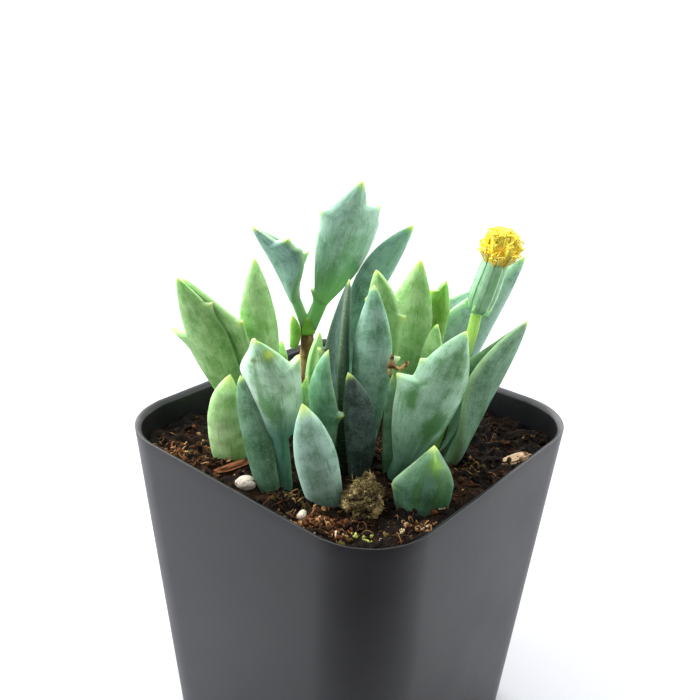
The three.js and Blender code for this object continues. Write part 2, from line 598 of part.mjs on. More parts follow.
const group = new THREE.Group();
group.add(piece('square_pot', toGeometry(potSolid()), blackPlastic));
group.add(piece('soil', toGeometry(soilSolid()), darkPeat));
group.add(...Object.values(bits).map((bit) => bit.mesh));
group.add(plant);

export default group;
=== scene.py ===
# %% [markdown]
# # A potted spearhead senecio
# This lesson dresses a small succulent in Blender: a clump of Senecio kleiniiformis with one
# yellow flower head, rooted in peat in a square nursery pot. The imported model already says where
# every shoot, stem and bit of soil is. We load it first as a fixed frame, and then build a finer
# mesh and a procedural finish for each piece in the same place.

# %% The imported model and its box
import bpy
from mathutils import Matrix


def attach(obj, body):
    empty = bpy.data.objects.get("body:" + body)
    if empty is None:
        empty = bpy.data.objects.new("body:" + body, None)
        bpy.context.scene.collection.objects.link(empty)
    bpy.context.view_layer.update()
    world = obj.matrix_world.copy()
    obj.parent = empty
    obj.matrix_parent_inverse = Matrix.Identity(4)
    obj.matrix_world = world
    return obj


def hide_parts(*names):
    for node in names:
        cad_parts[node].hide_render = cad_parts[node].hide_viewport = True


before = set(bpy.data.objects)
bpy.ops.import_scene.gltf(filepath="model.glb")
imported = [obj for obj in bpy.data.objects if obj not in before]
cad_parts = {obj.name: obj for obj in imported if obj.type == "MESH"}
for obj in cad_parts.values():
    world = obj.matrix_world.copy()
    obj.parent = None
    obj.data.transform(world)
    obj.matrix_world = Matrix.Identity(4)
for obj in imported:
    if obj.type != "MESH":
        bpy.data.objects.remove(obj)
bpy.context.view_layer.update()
print("nodes in the packed model:", len(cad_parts))

# %% What the lesson is made with
import itertools
import math

import bmesh
import bpy
import numpy as np
from mathutils import Matrix, Vector

MM = 0.001
scene = bpy.context.scene
draw = np.random.default_rng(4071)
print("one millimetre is", MM, "in Blender's metres, and random draws are seeded")

# %% [markdown]
# ## Places
# Sizes are written in millimetres, because that is how such a plant is measured. The pot's walls
# follow X and Y. The plant is easier to describe as we see it from the pot's near corner, so its
# places read [across, away, up], and one small function turns them into the pot's own directions.

# %% From the plant's directions to the pot's
PLANT_TURN = math.radians(39.1)


def from_plant(places):
    """Turns [across, away, up] into the pot's x, y and z, still in millimetres."""
    across, away, up = np.moveaxis(np.asarray(places, float), -1, 0)
    x = across * math.cos(PLANT_TURN) - away * math.sin(PLANT_TURN)
    y = across * math.sin(PLANT_TURN) + away * math.cos(PLANT_TURN)
    return np.stack([x, y, up], axis=-1)


print("10 mm to the right of the near corner's view is", from_plant([10, 0, 0]).round(2))

# %% [markdown]
# ## The camera
# The photograph was taken from close by, a little above the plant, with the pot's near corner
# toward the lens. A camera object has no target of its own, so its three directions are worked
# out from a heading, a tilt and a small roll and written into its matrix. Near cameras stretch
# what is close to them, which is why the place matters as much as the angle.

# %% The camera in the photograph's place
CAMERA_PLACE = (77.15, -94.81, 126.07)
CAMERA_HEADING = math.radians(129.57)
CAMERA_TILT = math.radians(22.92)
CAMERA_ROLL = math.radians(2.19)
LENS = 42.25
SENSOR = 36

level_right = Vector((math.sin(CAMERA_HEADING), -math.cos(CAMERA_HEADING), 0))
forward = Vector((
    math.cos(CAMERA_TILT) * math.cos(CAMERA_HEADING),
    math.cos(CAMERA_TILT) * math.sin(CAMERA_HEADING),
    -math.sin(CAMERA_TILT),
))
level_up = level_right.cross(forward)
right = level_right * math.cos(CAMERA_ROLL) + level_up * math.sin(CAMERA_ROLL)
up = level_up * math.cos(CAMERA_ROLL) - level_right * math.sin(CAMERA_ROLL)
camera_data = bpy.data.cameras.new("camera")
camera_data.lens = LENS
camera_data.sensor_width = SENSOR
camera_data.sensor_fit = "HORIZONTAL"
camera_data.clip_start = 10 * MM
camera = bpy.data.objects.new("camera", camera_data)
camera_turn = Matrix((right, up, -forward)).transposed().to_4x4()
camera.matrix_world = Matrix.Translation(Vector(CAMERA_PLACE) * MM) @ camera_turn
scene.collection.objects.link(camera)
scene.camera = camera
print("camera at", [round(value, 3) for value in camera.location], "looking along", forward.to_tuple(3))

# %% [markdown]
# ## The studio
# The plant stands on a white table in a white room, in soft light from both sides, from behind
# and from above. That light is what draws the pale margins of the leaves and keeps the near side
# of the pot dark. Big area lights close to the plant give the softness, and the world's light grows
# from dim on the camera's side to bright behind, as a room with its window behind the table does.
# The table fades out just in front of the pot, and what lies beyond it on our side is dim. The
# pot's near corner mirrors that dim side, and its two faces mirror the bright table to their left
# and right, which is why the corner is the darkest part of the pot.

# %% A white table and soft lights
TABLE_SIDE = 330
TABLE_FRONT = -88
TABLE_FADE = 50
TABLE_BACK = 290
TABLE_COLOUR = (0.5, 0.51, 0.535, 1)
AIM = (0, 0, 75)


def table_top():
    """A wide flat table top, which isn't part of the plant and fades out on our side."""
    mesh = bpy.data.meshes.new("table_top")
    corners = from_plant([
        (-TABLE_SIDE, TABLE_FRONT, 0), (TABLE_SIDE, TABLE_FRONT, 0),
        (TABLE_SIDE, TABLE_BACK, 0), (-TABLE_SIDE, TABLE_BACK, 0),
    ])
    mesh.from_pydata((corners * MM).tolist(), [], [(0, 1, 2, 3)])
    table = bpy.data.objects.new("table_top", mesh)
    scene.collection.objects.link(table)
    finish = bpy.data.materials.new("white_table")
    finish.use_nodes = True
    tree = finish.node_tree
    shader = tree.nodes["Principled BSDF"]
    shader.inputs["Base Color"].default_value = TABLE_COLOUR
    shader.inputs["Roughness"].default_value = 0.7
    shader.inputs["Specular IOR Level"].default_value = 0.2
    place = tree.nodes.new("ShaderNodeTexCoord")
    depth = tree.nodes.new("ShaderNodeVectorMath")
    depth.operation = "DOT_PRODUCT"
    depth.inputs[1].default_value = tuple(from_plant([0, 1, 0]))
    tree.links.new(place.outputs["Object"], depth.inputs[0])
    opacity = tree.nodes.new("ShaderNodeMapRange")
    opacity.interpolation_type = "SMOOTHSTEP"
    opacity.inputs["From Min"].default_value = TABLE_FRONT * MM
    opacity.inputs["From Max"].default_value = (TABLE_FRONT + TABLE_FADE) * MM
    tree.links.new(depth.outputs["Value"], opacity.inputs["Value"])
    clear = tree.nodes.new("ShaderNodeBsdfTransparent")
    faded = tree.nodes.new("ShaderNodeMixShader")
    tree.links.new(opacity.outputs["Result"], faded.inputs[0])
    tree.links.new(clear.outputs[0], faded.inputs[1])
    tree.links.new(shader.outputs[0], faded.inputs[2])
    tree.links.new(faded.outputs[0], tree.nodes["Material Output"].inputs["Surface"])
    mesh.materials.append(finish)
    return table


def soft_box(name, place, size, radiance):
    """A square area light at [across, away, up] that faces the plant."""
    light = bpy.data.lights.new(name, "AREA")
    light.shape = "SQUARE"
    light.size = size * MM
    light.energy = radiance * math.pi * (size * MM) ** 2
    lamp = bpy.data.objects.new(name, light)
    lamp.location = Vector(from_plant(place)) * MM
    toward = Vector(AIM) * MM - lamp.location
    lamp.rotation_euler = toward.to_track_quat("-Z", "Y").to_euler()
    lamp.visible_camera = False
    scene.collection.objects.link(lamp)
    return lamp


floor = table_top()
lamps = [
    soft_box("left_light", (-330, 10, 230), 300, 5.9),
    soft_box("right_light", (340, 90, 190), 280, 3.7),
    soft_box("back_light", (-60, 330, 330), 340, 5.4),
    soft_box("top_light", (-40, 40, 440), 280, 3.6),
]
print(floor.name, "and", len(lamps), "soft lights that aim at", AIM)

# %% The world's light
WORLD_BEHIND = 1.5
WORLD_FRONT = 0.42
WHITE_WALL = 1.05

world = bpy.data.worlds.new("white_room")
world.use_nodes = True
scene.world = world
sky = world.node_tree
sky.nodes.clear()
direction = sky.nodes.new("ShaderNodeTexCoord")
facing = sky.nodes.new("ShaderNodeVectorMath")
facing.operation = "DOT_PRODUCT"
facing.inputs[1].default_value = tuple(from_plant([0, 1, 0.35]))
sky.links.new(direction.outputs["Generated"], facing.inputs[0])
brightness = sky.nodes.new("ShaderNodeMapRange")
brightness.interpolation_type = "SMOOTHSTEP"
brightness.inputs["From Min"].default_value = -0.8
brightness.inputs["From Max"].default_value = 0.7
brightness.inputs["To Min"].default_value = WORLD_FRONT
brightness.inputs["To Max"].default_value = WORLD_BEHIND
sky.links.new(facing.outputs["Value"], brightness.inputs["Value"])
room_light = sky.nodes.new("ShaderNodeBackground")
sky.links.new(brightness.outputs["Result"], room_light.inputs["Strength"])
white_wall = sky.nodes.new("ShaderNodeBackground")
white_wall.inputs["Color"].default_value = (1, 1, 1, 1)
white_wall.inputs["Strength"].default_value = WHITE_WALL
seen = sky.nodes.new("ShaderNodeLightPath")
chosen = sky.nodes.new("ShaderNodeMixShader")
sky.links.new(seen.outputs["Is Camera Ray"], chosen.inputs[0])
sky.links.new(room_light.outputs[0], chosen.inputs[1])
sky.links.new(white_wall.outputs[0], chosen.inputs[2])
output = sky.nodes.new("ShaderNodeOutputWorld")
sky.links.new(chosen.outputs[0], output.inputs["Surface"])
scene.view_settings.view_transform = "Standard"
print("world light from", WORLD_FRONT, "in front to", WORLD_BEHIND, "behind")

# %% [markdown]
# ## Building blocks for shapes
# Nearly everything here is a loft: rings of points, skinned in order and closed at both ends. A
# stem is a loft of circles, the pot one of rounded squares, and a leaf one of thin crescents. We
# collect such shapes in a heap and turn the whole heap into one mesh, because a thousand crumbs
# as a thousand objects would be slow. What a point should look like travels along as attributes.

# %% Rings, heaps and meshes
def mix(first, second, share):
    """A number, place or colour on the way from the first to the second."""
    first = np.asarray(first, float)
    return first + (second - first) * share


def ease(value, low=0.0, high=1.0):
    """Rises smoothly from 0 at low to 1 at high."""
    share = np.clip((np.asarray(value, float) - low) / (high - low), 0, 1)
    return share * share * (3 - 2 * share)


def loft(rings, start=None, end=None):
    """Skins rings of equal length, counterclockwise seen from their end, and closes given ends."""
    rings = np.asarray(rings, float)
    count, around = rings.shape[:2]
    points = [rings.reshape(-1, 3)]
    here = np.arange(around)
    after = np.roll(here, -1)
    row = np.arange(count - 1)[:, None] * around
    quads = np.stack([row + here, row + after, row + around + after, row + around + here], axis=-1)
    faces = [quads.reshape(-1, 4)]
    total = count * around
    if start is not None:
        points.append(np.asarray(start, float).reshape(1, 3))
        faces.append(np.stack([after, here, np.full(around, total)], axis=-1))
        total += 1
    if end is not None:
        points.append(np.asarray(end, float).reshape(1, 3))
        top = (count - 1) * around
        faces.append(np.stack([top + here, top + after, np.full(around, total)], axis=-1))
    return np.vstack(points), faces


MARK_KINDS = {1: ("FLOAT", "value"), 3: ("FLOAT_VECTOR", "vector"), 4: ("FLOAT_COLOR", "color")}


class Heap:
    """Collects many shapes, with the marks that their points carry, for one mesh."""

    def __init__(self):
        self.points = []
        self.faces = []
        self.marks = {}
        self.total = 0

    def add(self, points, faces, **marks):
        """Adds one shape; a mark is one value for all its points or a row for each."""
        for part in faces:
            self.faces.append(part + self.total)
        self.points.append(points)
        for name, value in marks.items():
            value = np.asarray(value, float)
            width = value.shape[-1] if value.ndim and value.shape[-1] != len(points) else None
            shape = (len(points),) if width is None else (len(points), width)
            self.marks.setdefault(name, []).append(np.broadcast_to(value, shape))
        self.total += len(points)

    def object(self, name):
        """Makes the Blender object, in metres, with its marks as attributes."""
        mesh = bpy.data.meshes.new(name)
        faces = [face for part in self.faces for face in part.tolist()]
        mesh.from_pydata((np.vstack(self.points) * MM).tolist(), [], faces)
        for mark, parts in self.marks.items():
            values = np.concatenate(parts).astype(np.float32)
            width = values.shape[1] if values.ndim == 2 else 1
            kind, field = MARK_KINDS[width]
            attribute = mesh.attributes.new(mark, kind, "POINT")
            attribute.data.foreach_set(field, values.ravel())
        mesh.polygons.foreach_set("use_smooth", [True] * len(mesh.polygons))
        mesh.update()
        piece = bpy.data.objects.new(name, mesh)
        scene.collection.objects.link(piece)
        return piece


def one_shape(name, points, faces, **marks):
    """The Blender object of a single shape."""
    heap = Heap()
    heap.add(points, faces, **marks)
    return heap.object(name)


def settle(piece, material, slot, *nodes):
    """Gives a piece its finish, its place on the body and the nodes it stands for; its slot is not used."""
    piece.data.materials.append(material)
    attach(piece, "root")
    if nodes:
        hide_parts(*nodes)
    triangles = sum(len(face.vertices) - 2 for face in piece.data.polygons)
    size = [round(value / MM, 1) for value in piece.dimensions]
    print(f"{piece.name}: {triangles} triangles, {size} mm")


print("loft, heap, one_shape and settle are ready")

# %% [markdown]
# Natural surfaces are uneven at several scales at once. Blender's own noise works point by point,
# so this small version reads a seeded block of random numbers and blends between its cells. It
# moves a hundred thousand points in a moment and gives the same bumps on every run.

# %% Soft noise, smooth paths and round bars
NOISE_CELLS = 48
PATH_STEPS = 24
noise_block = np.random.default_rng(11).random((NOISE_CELLS, NOISE_CELLS, NOISE_CELLS))


def soft_noise(points, size, seed=0):
    """Smooth noise from -1 to 1 whose bumps are about size millimetres across."""
    places = np.asarray(points, float) / size + 7.3 * seed
    cell = np.floor(places).astype(int)
    part = ease(places - cell)
    total = 0
    for corner in itertools.product((0, 1), repeat=3):
        share = np.prod(np.where(corner, part, 1 - part), axis=-1)
        x, y, z = np.moveaxis((cell + corner) % NOISE_CELLS, -1, 0)
        total = total + share * noise_block[x, y, z]
    return 2 * total - 1


def smooth_path(places, count):
    """A curve through the places, as points at even distances."""
    places = np.asarray(places, float)
    ends = [2 * places[0] - places[1], *places, 2 * places[-1] - places[-2]]
    fine = []
    for before, first, second, following in zip(ends, ends[1:], ends[2:], ends[3:]):
        share = np.linspace(0, 1, PATH_STEPS)[:, None]
        fine.append(0.5 * (2 * first + (second - before) * share
                           + (2 * before - 5 * first + 4 * second - following) * share ** 2
                           + (3 * first - before - 3 * second + following) * share ** 3))
    fine = np.vstack(fine)
    walked = np.concatenate([[0], np.cumsum(np.linalg.norm(np.diff(fine, axis=0), axis=1))])
    at = np.linspace(0, walked[-1], count)
    return np.stack([np.interp(at, walked, fine[:, axis]) for axis in range(3)], axis=-1)


def bar_rings(path, radii, sides):
    """Circles along a path, each with its own radius, turned as little as possible."""
    path = np.asarray(path, float)
    tangents = np.gradient(path, axis=0)
    tangents /= np.linalg.norm(tangents, axis=1)[:, None]
    angle = np.arange(sides) * (2 * math.pi / sides)
    normal = np.cross(tangents[0], [0.31, 0.87, 0.38])
    rings = []
    for point, tangent, radius in zip(path, tangents, radii):
        normal = normal - tangent * np.dot(normal, tangent)
        normal /= np.linalg.norm(normal)
        side = np.cross(tangent, normal)
        circle = np.cos(angle)[:, None] * normal + np.sin(angle)[:, None] * side
        rings.append(point + circle * radius)
    return np.array(rings)


def bar(path, radii, sides):
    """A closed round bar along a path."""
    radii = np.interp(np.linspace(0, 1, len(path)), np.linspace(0, 1, len(radii)), radii)
    return loft(bar_rings(path, radii, sides), path[0], path[-1])


def ball(level):
    """The points and triangles of a ball of radius 1."""
    form = bmesh.new()
    bmesh.ops.create_icosphere(form, subdivisions=level, radius=1)
    points = np.array([vertex.co[:] for vertex in form.verts])
    faces = np.array([[vertex.index for vertex in face.verts] for face in form.faces])
    form.free()
    return points, faces


def spun(points, turns):
    """Turns points by three angles in radians, about X, Y and then Z."""
    for axis, angle in enumerate(turns):
        first, second = [(1, 2), (2, 0), (0, 1)][axis]
        turned = points.copy()
        turned[:, first] = points[:, first] * math.cos(angle) - points[:, second] * math.sin(angle)
        turned[:, second] = points[:, first] * math.sin(angle) + points[:, second] * math.cos(angle)
        points = turned
    return points


print("noise from", soft_noise(np.eye(3), 2).round(3))

# %% [markdown]
# ## Building blocks for finishes
# A finish is a small tree of nodes: noise of the right size, mapped to a range, mixes two or more
# colours and also drives the roughness and the bump. Colours are written as the eye reads them on
# a screen, from 0 to 255, and turned into the linear values that light adds up in.

# %% Colours and nodes
def colour(red, green, blue):
    """A screen colour as Blender's linear colour."""
    parts = np.array([red, green, blue]) / 255
    linear = np.where(parts <= 0.04045, parts / 12.92, ((parts + 0.055) / 1.055) ** 2.4)
    return (*linear.tolist(), 1.0)


class Finish:
    """A material under construction, with short names for the nodes that this lesson uses."""

    def __init__(self, name):
        self.material = bpy.data.materials.new(name)
        self.material.use_nodes = True
        self.tree = self.material.node_tree
        self.shader = self.tree.nodes["Principled BSDF"]

    def put(self, socket, value):
        """Sets a socket, or links it where the value is another node's output."""
        if isinstance(value, bpy.types.NodeSocket):
            self.tree.links.new(value, socket)
        else:
            socket.default_value = value

    def node(self, kind, inputs=(), **settings):
        """Adds a node with its settings and its inputs."""
        made = self.tree.nodes.new(kind)
        for name, value in settings.items():
            setattr(made, name, value)
        for name, value in dict(inputs).items():
            self.put(made.inputs[name], value)
        return made

    def mark(self, name, output="Color"):
        """What the points of the mesh carry under this name."""
        return self.node("ShaderNodeAttribute", attribute_name=name).outputs[output]

    def millimetres(self, stretch=(1, 1, 1), turn=(0, 0, 0)):
        """The place on the piece in millimetres, which noise can then be sized by."""
        place = self.node("ShaderNodeTexCoord").outputs["Object"]
        scale = tuple(1000 * value for value in stretch)
        inputs = {"Vector": place, "Scale": scale, "Rotation": turn}
        return self.node("ShaderNodeMapping", inputs).outputs[0]

    def stretched(self, place, scale):
        """A place scaled along each axis, in which noise is drawn out where the scale is small."""
        return self.node("ShaderNodeMapping", {"Vector": place, "Scale": scale}).outputs[0]

    def parts(self, name):
        """The X, Y and Z of what the points carry under this name."""
        return self.node("ShaderNodeSeparateXYZ", {"Vector": self.mark(name, "Vector")}).outputs

    def noise(self, place, size, detail=3.0, roughness=0.55):
        """Noise from 0 to 1 with bumps of about that size."""
        inputs = {"Vector": place, "Scale": 1 / size, "Detail": detail, "Roughness": roughness}
        return self.node("ShaderNodeTexNoise", inputs).outputs["Fac"]

    def ranged(self, value, low, high, to_low=0.0, to_high=1.0):
        """Maps low to high smoothly onto another range, and holds the ends."""
        inputs = {"Value": value, "From Min": low, "From Max": high, "To Min": to_low, "To Max": to_high}
        return self.node("ShaderNodeMapRange", inputs, interpolation_type="SMOOTHSTEP").outputs["Result"]

    def sum(self, first, second, share=1.0):
        """The first value plus a share of the second."""
        made = self.node("ShaderNodeMath", operation="MULTIPLY_ADD")
        self.put(made.inputs[0], second)
        self.put(made.inputs[1], share)
        self.put(made.inputs[2], first)
        return made.outputs[0]

    def times(self, first, second):
        """The product of two values."""
        made = self.node("ShaderNodeMath", operation="MULTIPLY")
        self.put(made.inputs[0], first)
        self.put(made.inputs[1], second)
        return made.outputs[0]

    def blend(self, amount, first, second, kind="MIX"):
        """Mixes two colours by an amount."""
        made = self.node("ShaderNodeMix", data_type="RGBA", blend_type=kind)
        self.put(made.inputs[0], amount)
        self.put(made.inputs[6], first)
        self.put(made.inputs[7], second)
        return made.outputs[2]

    def bump(self, height, strength, distance=0.1):
        """Bump of some tenths of a millimetre, joined to the shader."""
        inputs = {"Height": height, "Strength": strength, "Distance": distance * MM}
        self.put(self.shader.inputs["Normal"], self.node("ShaderNodeBump", inputs).outputs["Normal"])

    def done(self, base, roughness, **uniform):
        """Joins the colour and the roughness and sets what is the same all over."""
        self.put(self.shader.inputs["Base Color"], base)
        self.put(self.shader.inputs["Roughness"], roughness)
        for name, value in uniform.items():
            self.shader.inputs[name.replace("_", " ")].default_value = value
        return self.material


print("a leaf green of 110, 150, 120 on the screen is", np.round(colour(110, 150, 120)[:3], 3), "in light")

# %% [markdown]
# ## The pot
# Small nursery pots are moulded from thin black plastic: square with round corners, wider at the
# rim than at the foot, with drain holes in the floor. A loft of rounded squares goes up the
# outside, over the rim and down the inside, so the wall has its real thickness. The holes are cut
# with a Boolean modifier, which is the simplest way to open a flat floor, and then applied.

# %% The pot's sizes
POT_SIDE = 57
POT_HEIGHT = 62
WALL_LEAN = 0.063
WALL = 1
FLOOR = 1.4
CORNER_RADIUS = 11
BASE_EDGE = 3
DRAIN_RADIUS = 3
DRAIN_PLACE = 13
CORNER_STEPS = 22
WALL_STEPS = 14


def pot_half(height):
    """Half the pot's outer width at a height."""
    return POT_SIDE / 2 - (POT_HEIGHT - height) * WALL_LEAN


def rounded_square(half, radius, height, corner_steps=CORNER_STEPS, wall_steps=WALL_STEPS):
    """Points round a level square with round corners, counterclockwise from above."""
    turn = np.linspace(-math.pi / 4, math.pi / 4, corner_steps + 1)
    corners = []
    for corner in range(4):
        middle = math.pi / 4 + corner * math.pi / 2
        inset = (half - radius) * math.sqrt(2)
        x = inset * math.cos(middle) + radius * np.cos(middle + turn)
        y = inset * math.sin(middle) + radius * np.sin(middle + turn)
        corners.append(np.stack([x, y, np.full_like(x, height)], axis=-1))
    ring = []
    for corner, following in zip(corners, corners[1:] + corners[:1]):
        along = np.linspace(0, 1, wall_steps + 2)[1:-1, None]
        ring += [corner, mix(corner[-1], following[0], along)]
    return np.vstack(ring)


def base_edge(floor_height, inset, steps):
    """Rings that round the floor into the walls over a quarter circle."""
    rings = []
    for angle in np.linspace(0, math.pi / 2, steps):
        rise = BASE_EDGE * (1 - math.cos(angle))
        draw_in = inset + BASE_EDGE * (1 - math.sin(angle))
        height = floor_height + rise
        rings.append(rounded_square(pot_half(height) - draw_in, CORNER_RADIUS - draw_in, height))
    return rings


print("pot half widths at foot and rim:", round(pot_half(0), 2), pot_half(POT_HEIGHT))

# %% [markdown]
# The rim is where a moulded pot shows its age: it falls a little toward the inside, its edges
# catch the light, and it has the odd nick and flash of plastic. A few rings round each edge off
# over a small quarter circle, and a little noise keeps the rim from being perfectly even.

# %% The pot as one shell with a rounded rim
RIM_ROUND = 0.16
RIM_NICKS = 0.1
RIM_FALL = 0.7
WALL_ROWS = 26


def pot_rings():
    """All rings of the pot, from the underside up the outside and down the inside."""
    lowest = base_edge(0, 0, 9)
    outside = []
    for height in np.linspace(BASE_EDGE, POT_HEIGHT - RIM_ROUND, WALL_ROWS)[1:]:
        outside.append(rounded_square(pot_half(height), CORNER_RADIUS, height))
    rim = []
    turns = np.linspace(0, math.pi / 2, 5)
    outer_edge = [(RIM_ROUND * (1 - math.cos(angle)), math.sin(angle)) for angle in turns[1:]]
    inner_edge = [(WALL - inset, rise) for inset, rise in outer_edge[::-1]]
    for inset, rise in [*outer_edge, (WALL / 2, 1), *inner_edge]:
        height = POT_HEIGHT - RIM_ROUND + RIM_ROUND * rise - RIM_FALL * (inset / WALL) ** 1.4
        ring = rounded_square(pot_half(height) - inset, CORNER_RADIUS - inset, height)
        nick = np.clip(soft_noise(ring, 1.3, 3), -1, 0) * RIM_NICKS * rise
        ring[:, 2] += nick
        rim.append(ring)
    inside = []
    for height in np.linspace(POT_HEIGHT - RIM_ROUND - RIM_FALL, FLOOR + BASE_EDGE, WALL_ROWS)[:-1]:
        inside.append(rounded_square(pot_half(height) - WALL, CORNER_RADIUS - WALL, height))
    return [*lowest, *outside, *rim, *inside, *base_edge(FLOOR, WALL, 7)[::-1]]


def drill(piece, x, y):
    """Cuts one round drain hole through the floor."""
    form = bmesh.new()
    place = Matrix.Translation((x * MM, y * MM, FLOOR / 2 * MM))
    bmesh.ops.create_cone(form, cap_ends=True, segments=40, radius1=DRAIN_RADIUS * MM,
                          radius2=DRAIN_RADIUS * MM, depth=4 * FLOOR * MM, matrix=place)
    cutter_mesh = bpy.data.meshes.new("drill")
    form.to_mesh(cutter_mesh)
    form.free()
    cutter = bpy.data.objects.new("drill", cutter_mesh)
    scene.collection.objects.link(cutter)
    cut = piece.modifiers.new("drain_hole", "BOOLEAN")
    cut.object = cutter
    cut.operation = "DIFFERENCE"
    cut.solver = "EXACT"
    bpy.context.view_layer.objects.active = piece
    bpy.ops.object.modifier_apply(modifier=cut.name)
    bpy.data.objects.remove(cutter)


pot = one_shape("pot", *loft(pot_rings(), (0, 0, 0), (0, 0, FLOOR)))
for hole_x, hole_y in itertools.product((-DRAIN_PLACE, DRAIN_PLACE), repeat=2):
    drill(pot, hole_x, hole_y)
print("pot shell with four drain holes:", len(pot.data.polygons), "faces")

# %% [markdown]
# Black plastic is never plain black. It has a satin gloss, fine dust that greys it and faint
# scratches from being stacked. Noise of three sizes mixes the dust and the scuffs in, and the
# same noise makes the dusty places rougher.

# %% The plastic's finish
PLASTIC_BLACK = colour(18, 18, 21)
PLASTIC_DUSTY = colour(34, 34, 39)
PLASTIC_SCUFF = colour(64, 64, 70)


def pot_plastic():
    """Satin black plastic with dust and scuffs."""
    made = Finish("pot_plastic")
    place = made.millimetres()
    dust = made.noise(place, 14, 4, 0.6)
    grain = made.noise(place, 0.22, 2, 0.6)
    scuffs = made.noise(made.millimetres((1, 1, 0.3), (0.2, 0.3, 0.1)), 0.5, 4, 0.65)
    dusty = made.ranged(made.sum(dust, grain, 0.4), 0.45, 1.0)
    base = made.blend(dusty, PLASTIC_BLACK, PLASTIC_DUSTY)
    base = made.blend(made.ranged(scuffs, 0.62, 0.78, 0, 0.14), base, PLASTIC_SCUFF)
    rough = made.ranged(made.sum(dust, scuffs, 0.25), 0.4, 0.9, 0.38, 0.46)
    made.bump(made.sum(grain, scuffs, 0.4), 0.1, 0.05)
    return made.done(base, rough, IOR=1.5, Specular_IOR_Level=0.42)


settle(pot, pot_plastic(), "pot_plastic", "square_pot")

# %% [markdown]
# ## The soil
# The potting mix is dark peat with coir, sifted to crumbs of every size. From close by it reads
# as three layers of detail: hollows and ridges of a few millimetres, which the surface itself
# has, crumbs up to a millimetre, which are small rough balls, and fine fibres that lie over both.
# The surface is a formula, so whatever lies on it can ask for its height. The larger loose bits
# are described here too, because the soil is pressed in a little under the two bark chips.

# %% The shape of the soil's surface
SOIL_HEIGHT = 57
SOIL_TILT = 0.045
SOIL_INSET = 0.1
WAVE = 0.45
RIDGE = 0.75
LUMP = 0.45
GRIT = 0.26
HOLLOW = 1.3
HOLLOW_MARGIN = 1
BITS = {
    "peat_clump": {"half": (3.9, 4.2, 4.1), "turn": 0.4, "place": (15, -14.8, 60.4)},
    "perlite_1": {"half": (1.8, 1.3, 1.1), "turn": 0.6, "place": (-2.1, -22.4, 58.5)},
    "perlite_2": {"half": (0.8, 0.7, 0.6), "turn": 1, "place": (5, -22.9, 58.5)},
    "perlite_3": {"half": (0.9, 0.7, 0.6), "turn": 2, "place": (9.8, -22.6, 58.6)},
    "perlite_4": {"half": (0.8, 0.7, 0.6), "turn": 0, "place": (22.4, -19.6, 58.4)},
    "bark_chip_right": {"half": (3.6, 1.1, 0.6), "turn": 1.3, "place": (22.8, 15, 57)},
    "bark_chip_left": {"half": (3.8, 0.9, 0.6), "turn": 1.4, "place": (-7.8, -19.5, 58)},
}


def hollows(x, y):
    """How deep the soil is pressed in under the two bark chips."""
    depth = np.zeros_like(x)
    for name in ("bark_chip_right", "bark_chip_left"):
        bit = BITS[name]
        east = x - bit["place"][0]
        north = y - bit["place"][1]
        along = east * math.cos(bit["turn"]) + north * math.sin(bit["turn"])
        across = north * math.cos(bit["turn"]) - east * math.sin(bit["turn"])
        along = along / (bit["half"][0] + HOLLOW_MARGIN)
        across = across / (bit["half"][1] + HOLLOW_MARGIN)
        depth = depth + HOLLOW * np.exp(-along ** 2 - across ** 2)
    return depth


def soil_height(x, y):
    """Height of the soil's surface, with its ridges, lumps and hollows, in millimetres."""
    x = np.asarray(x, float)
    y = np.asarray(y, float)
    toward = x * math.sin(PLANT_TURN) - y * math.cos(PLANT_TURN)
    waves = (np.sin(0.8 * x + 1) * np.cos(0.7 * y) + 0.6 * np.sin(1.7 * x - 1.3 * y)
             + 0.4 * np.cos(2.3 * y + 0.9 * x))
    flat = np.stack([x, y, np.zeros_like(x)], axis=-1)
    ridges = 1 - 2 * np.abs(soft_noise(flat, 4.2, 5))
    lumps = soft_noise(flat, 1.7, 6)
    grit = soft_noise(flat, 0.7, 7)
    level = SOIL_HEIGHT + SOIL_TILT * toward - hollows(x, y)
    return level + WAVE * waves + RIDGE * ridges + LUMP * lumps + GRIT * grit


def wall_clearance(x, y, height):
    """How far a place inside the pot is from the inner wall."""
    half = pot_half(height) - WALL
    radius = CORNER_RADIUS - WALL
    over_x = np.abs(x) - (half - radius)
    over_y = np.abs(y) - (half - radius)
    outside = np.hypot(np.maximum(over_x, 0), np.maximum(over_y, 0))
    return radius - outside - np.minimum(np.maximum(over_x, over_y), 0)


print("soil stands", round(float(soil_height(20, -20)), 1), "mm high near the front corner")

# %% The soil's body
SOIL_TINTS = {
    "black": colour(17, 14, 12),
    "dark": colour(30, 22, 17),
    "brown": colour(62, 42, 27),
    "red": colour(100, 62, 38),
    "tan": colour(164, 126, 82),
    "olive": colour(84, 76, 40),
    "pale": colour(206, 186, 150),
    "leafy": colour(186, 196, 104),
}
# Each zone has its middle and its reach, both across and away, and how much paler the soil is there.
# Zones below 0 are darker. The two at the back are partly darker soil and partly painted shadow of the inner
# wall.
SOIL_ZONES = [
    ((18, 12), (16, 10), -0.65),
    ((-22, 9), (8, 7), -0.6),
    ((4.5, -22.5), (3.6, 3), -0.6),
    ((-26, -6), (6, 3.5), 0.9),
    ((-20, -12), (4, 3), 0.9),
    ((-6, -25.5), (4.5, 2.5), 0.6),
]
# Each level of the lower soil has its height and how far it is drawn in from the wall.
SOIL_LEVELS = [
    (FLOOR + SOIL_INSET, BASE_EDGE),
    (FLOOR + 1, 1),
    (FLOOR + BASE_EDGE, 0),
    (30, 0),
    (53.5, 0),
]
SOIL_ROWS = 84
SOIL_STEPS = 44


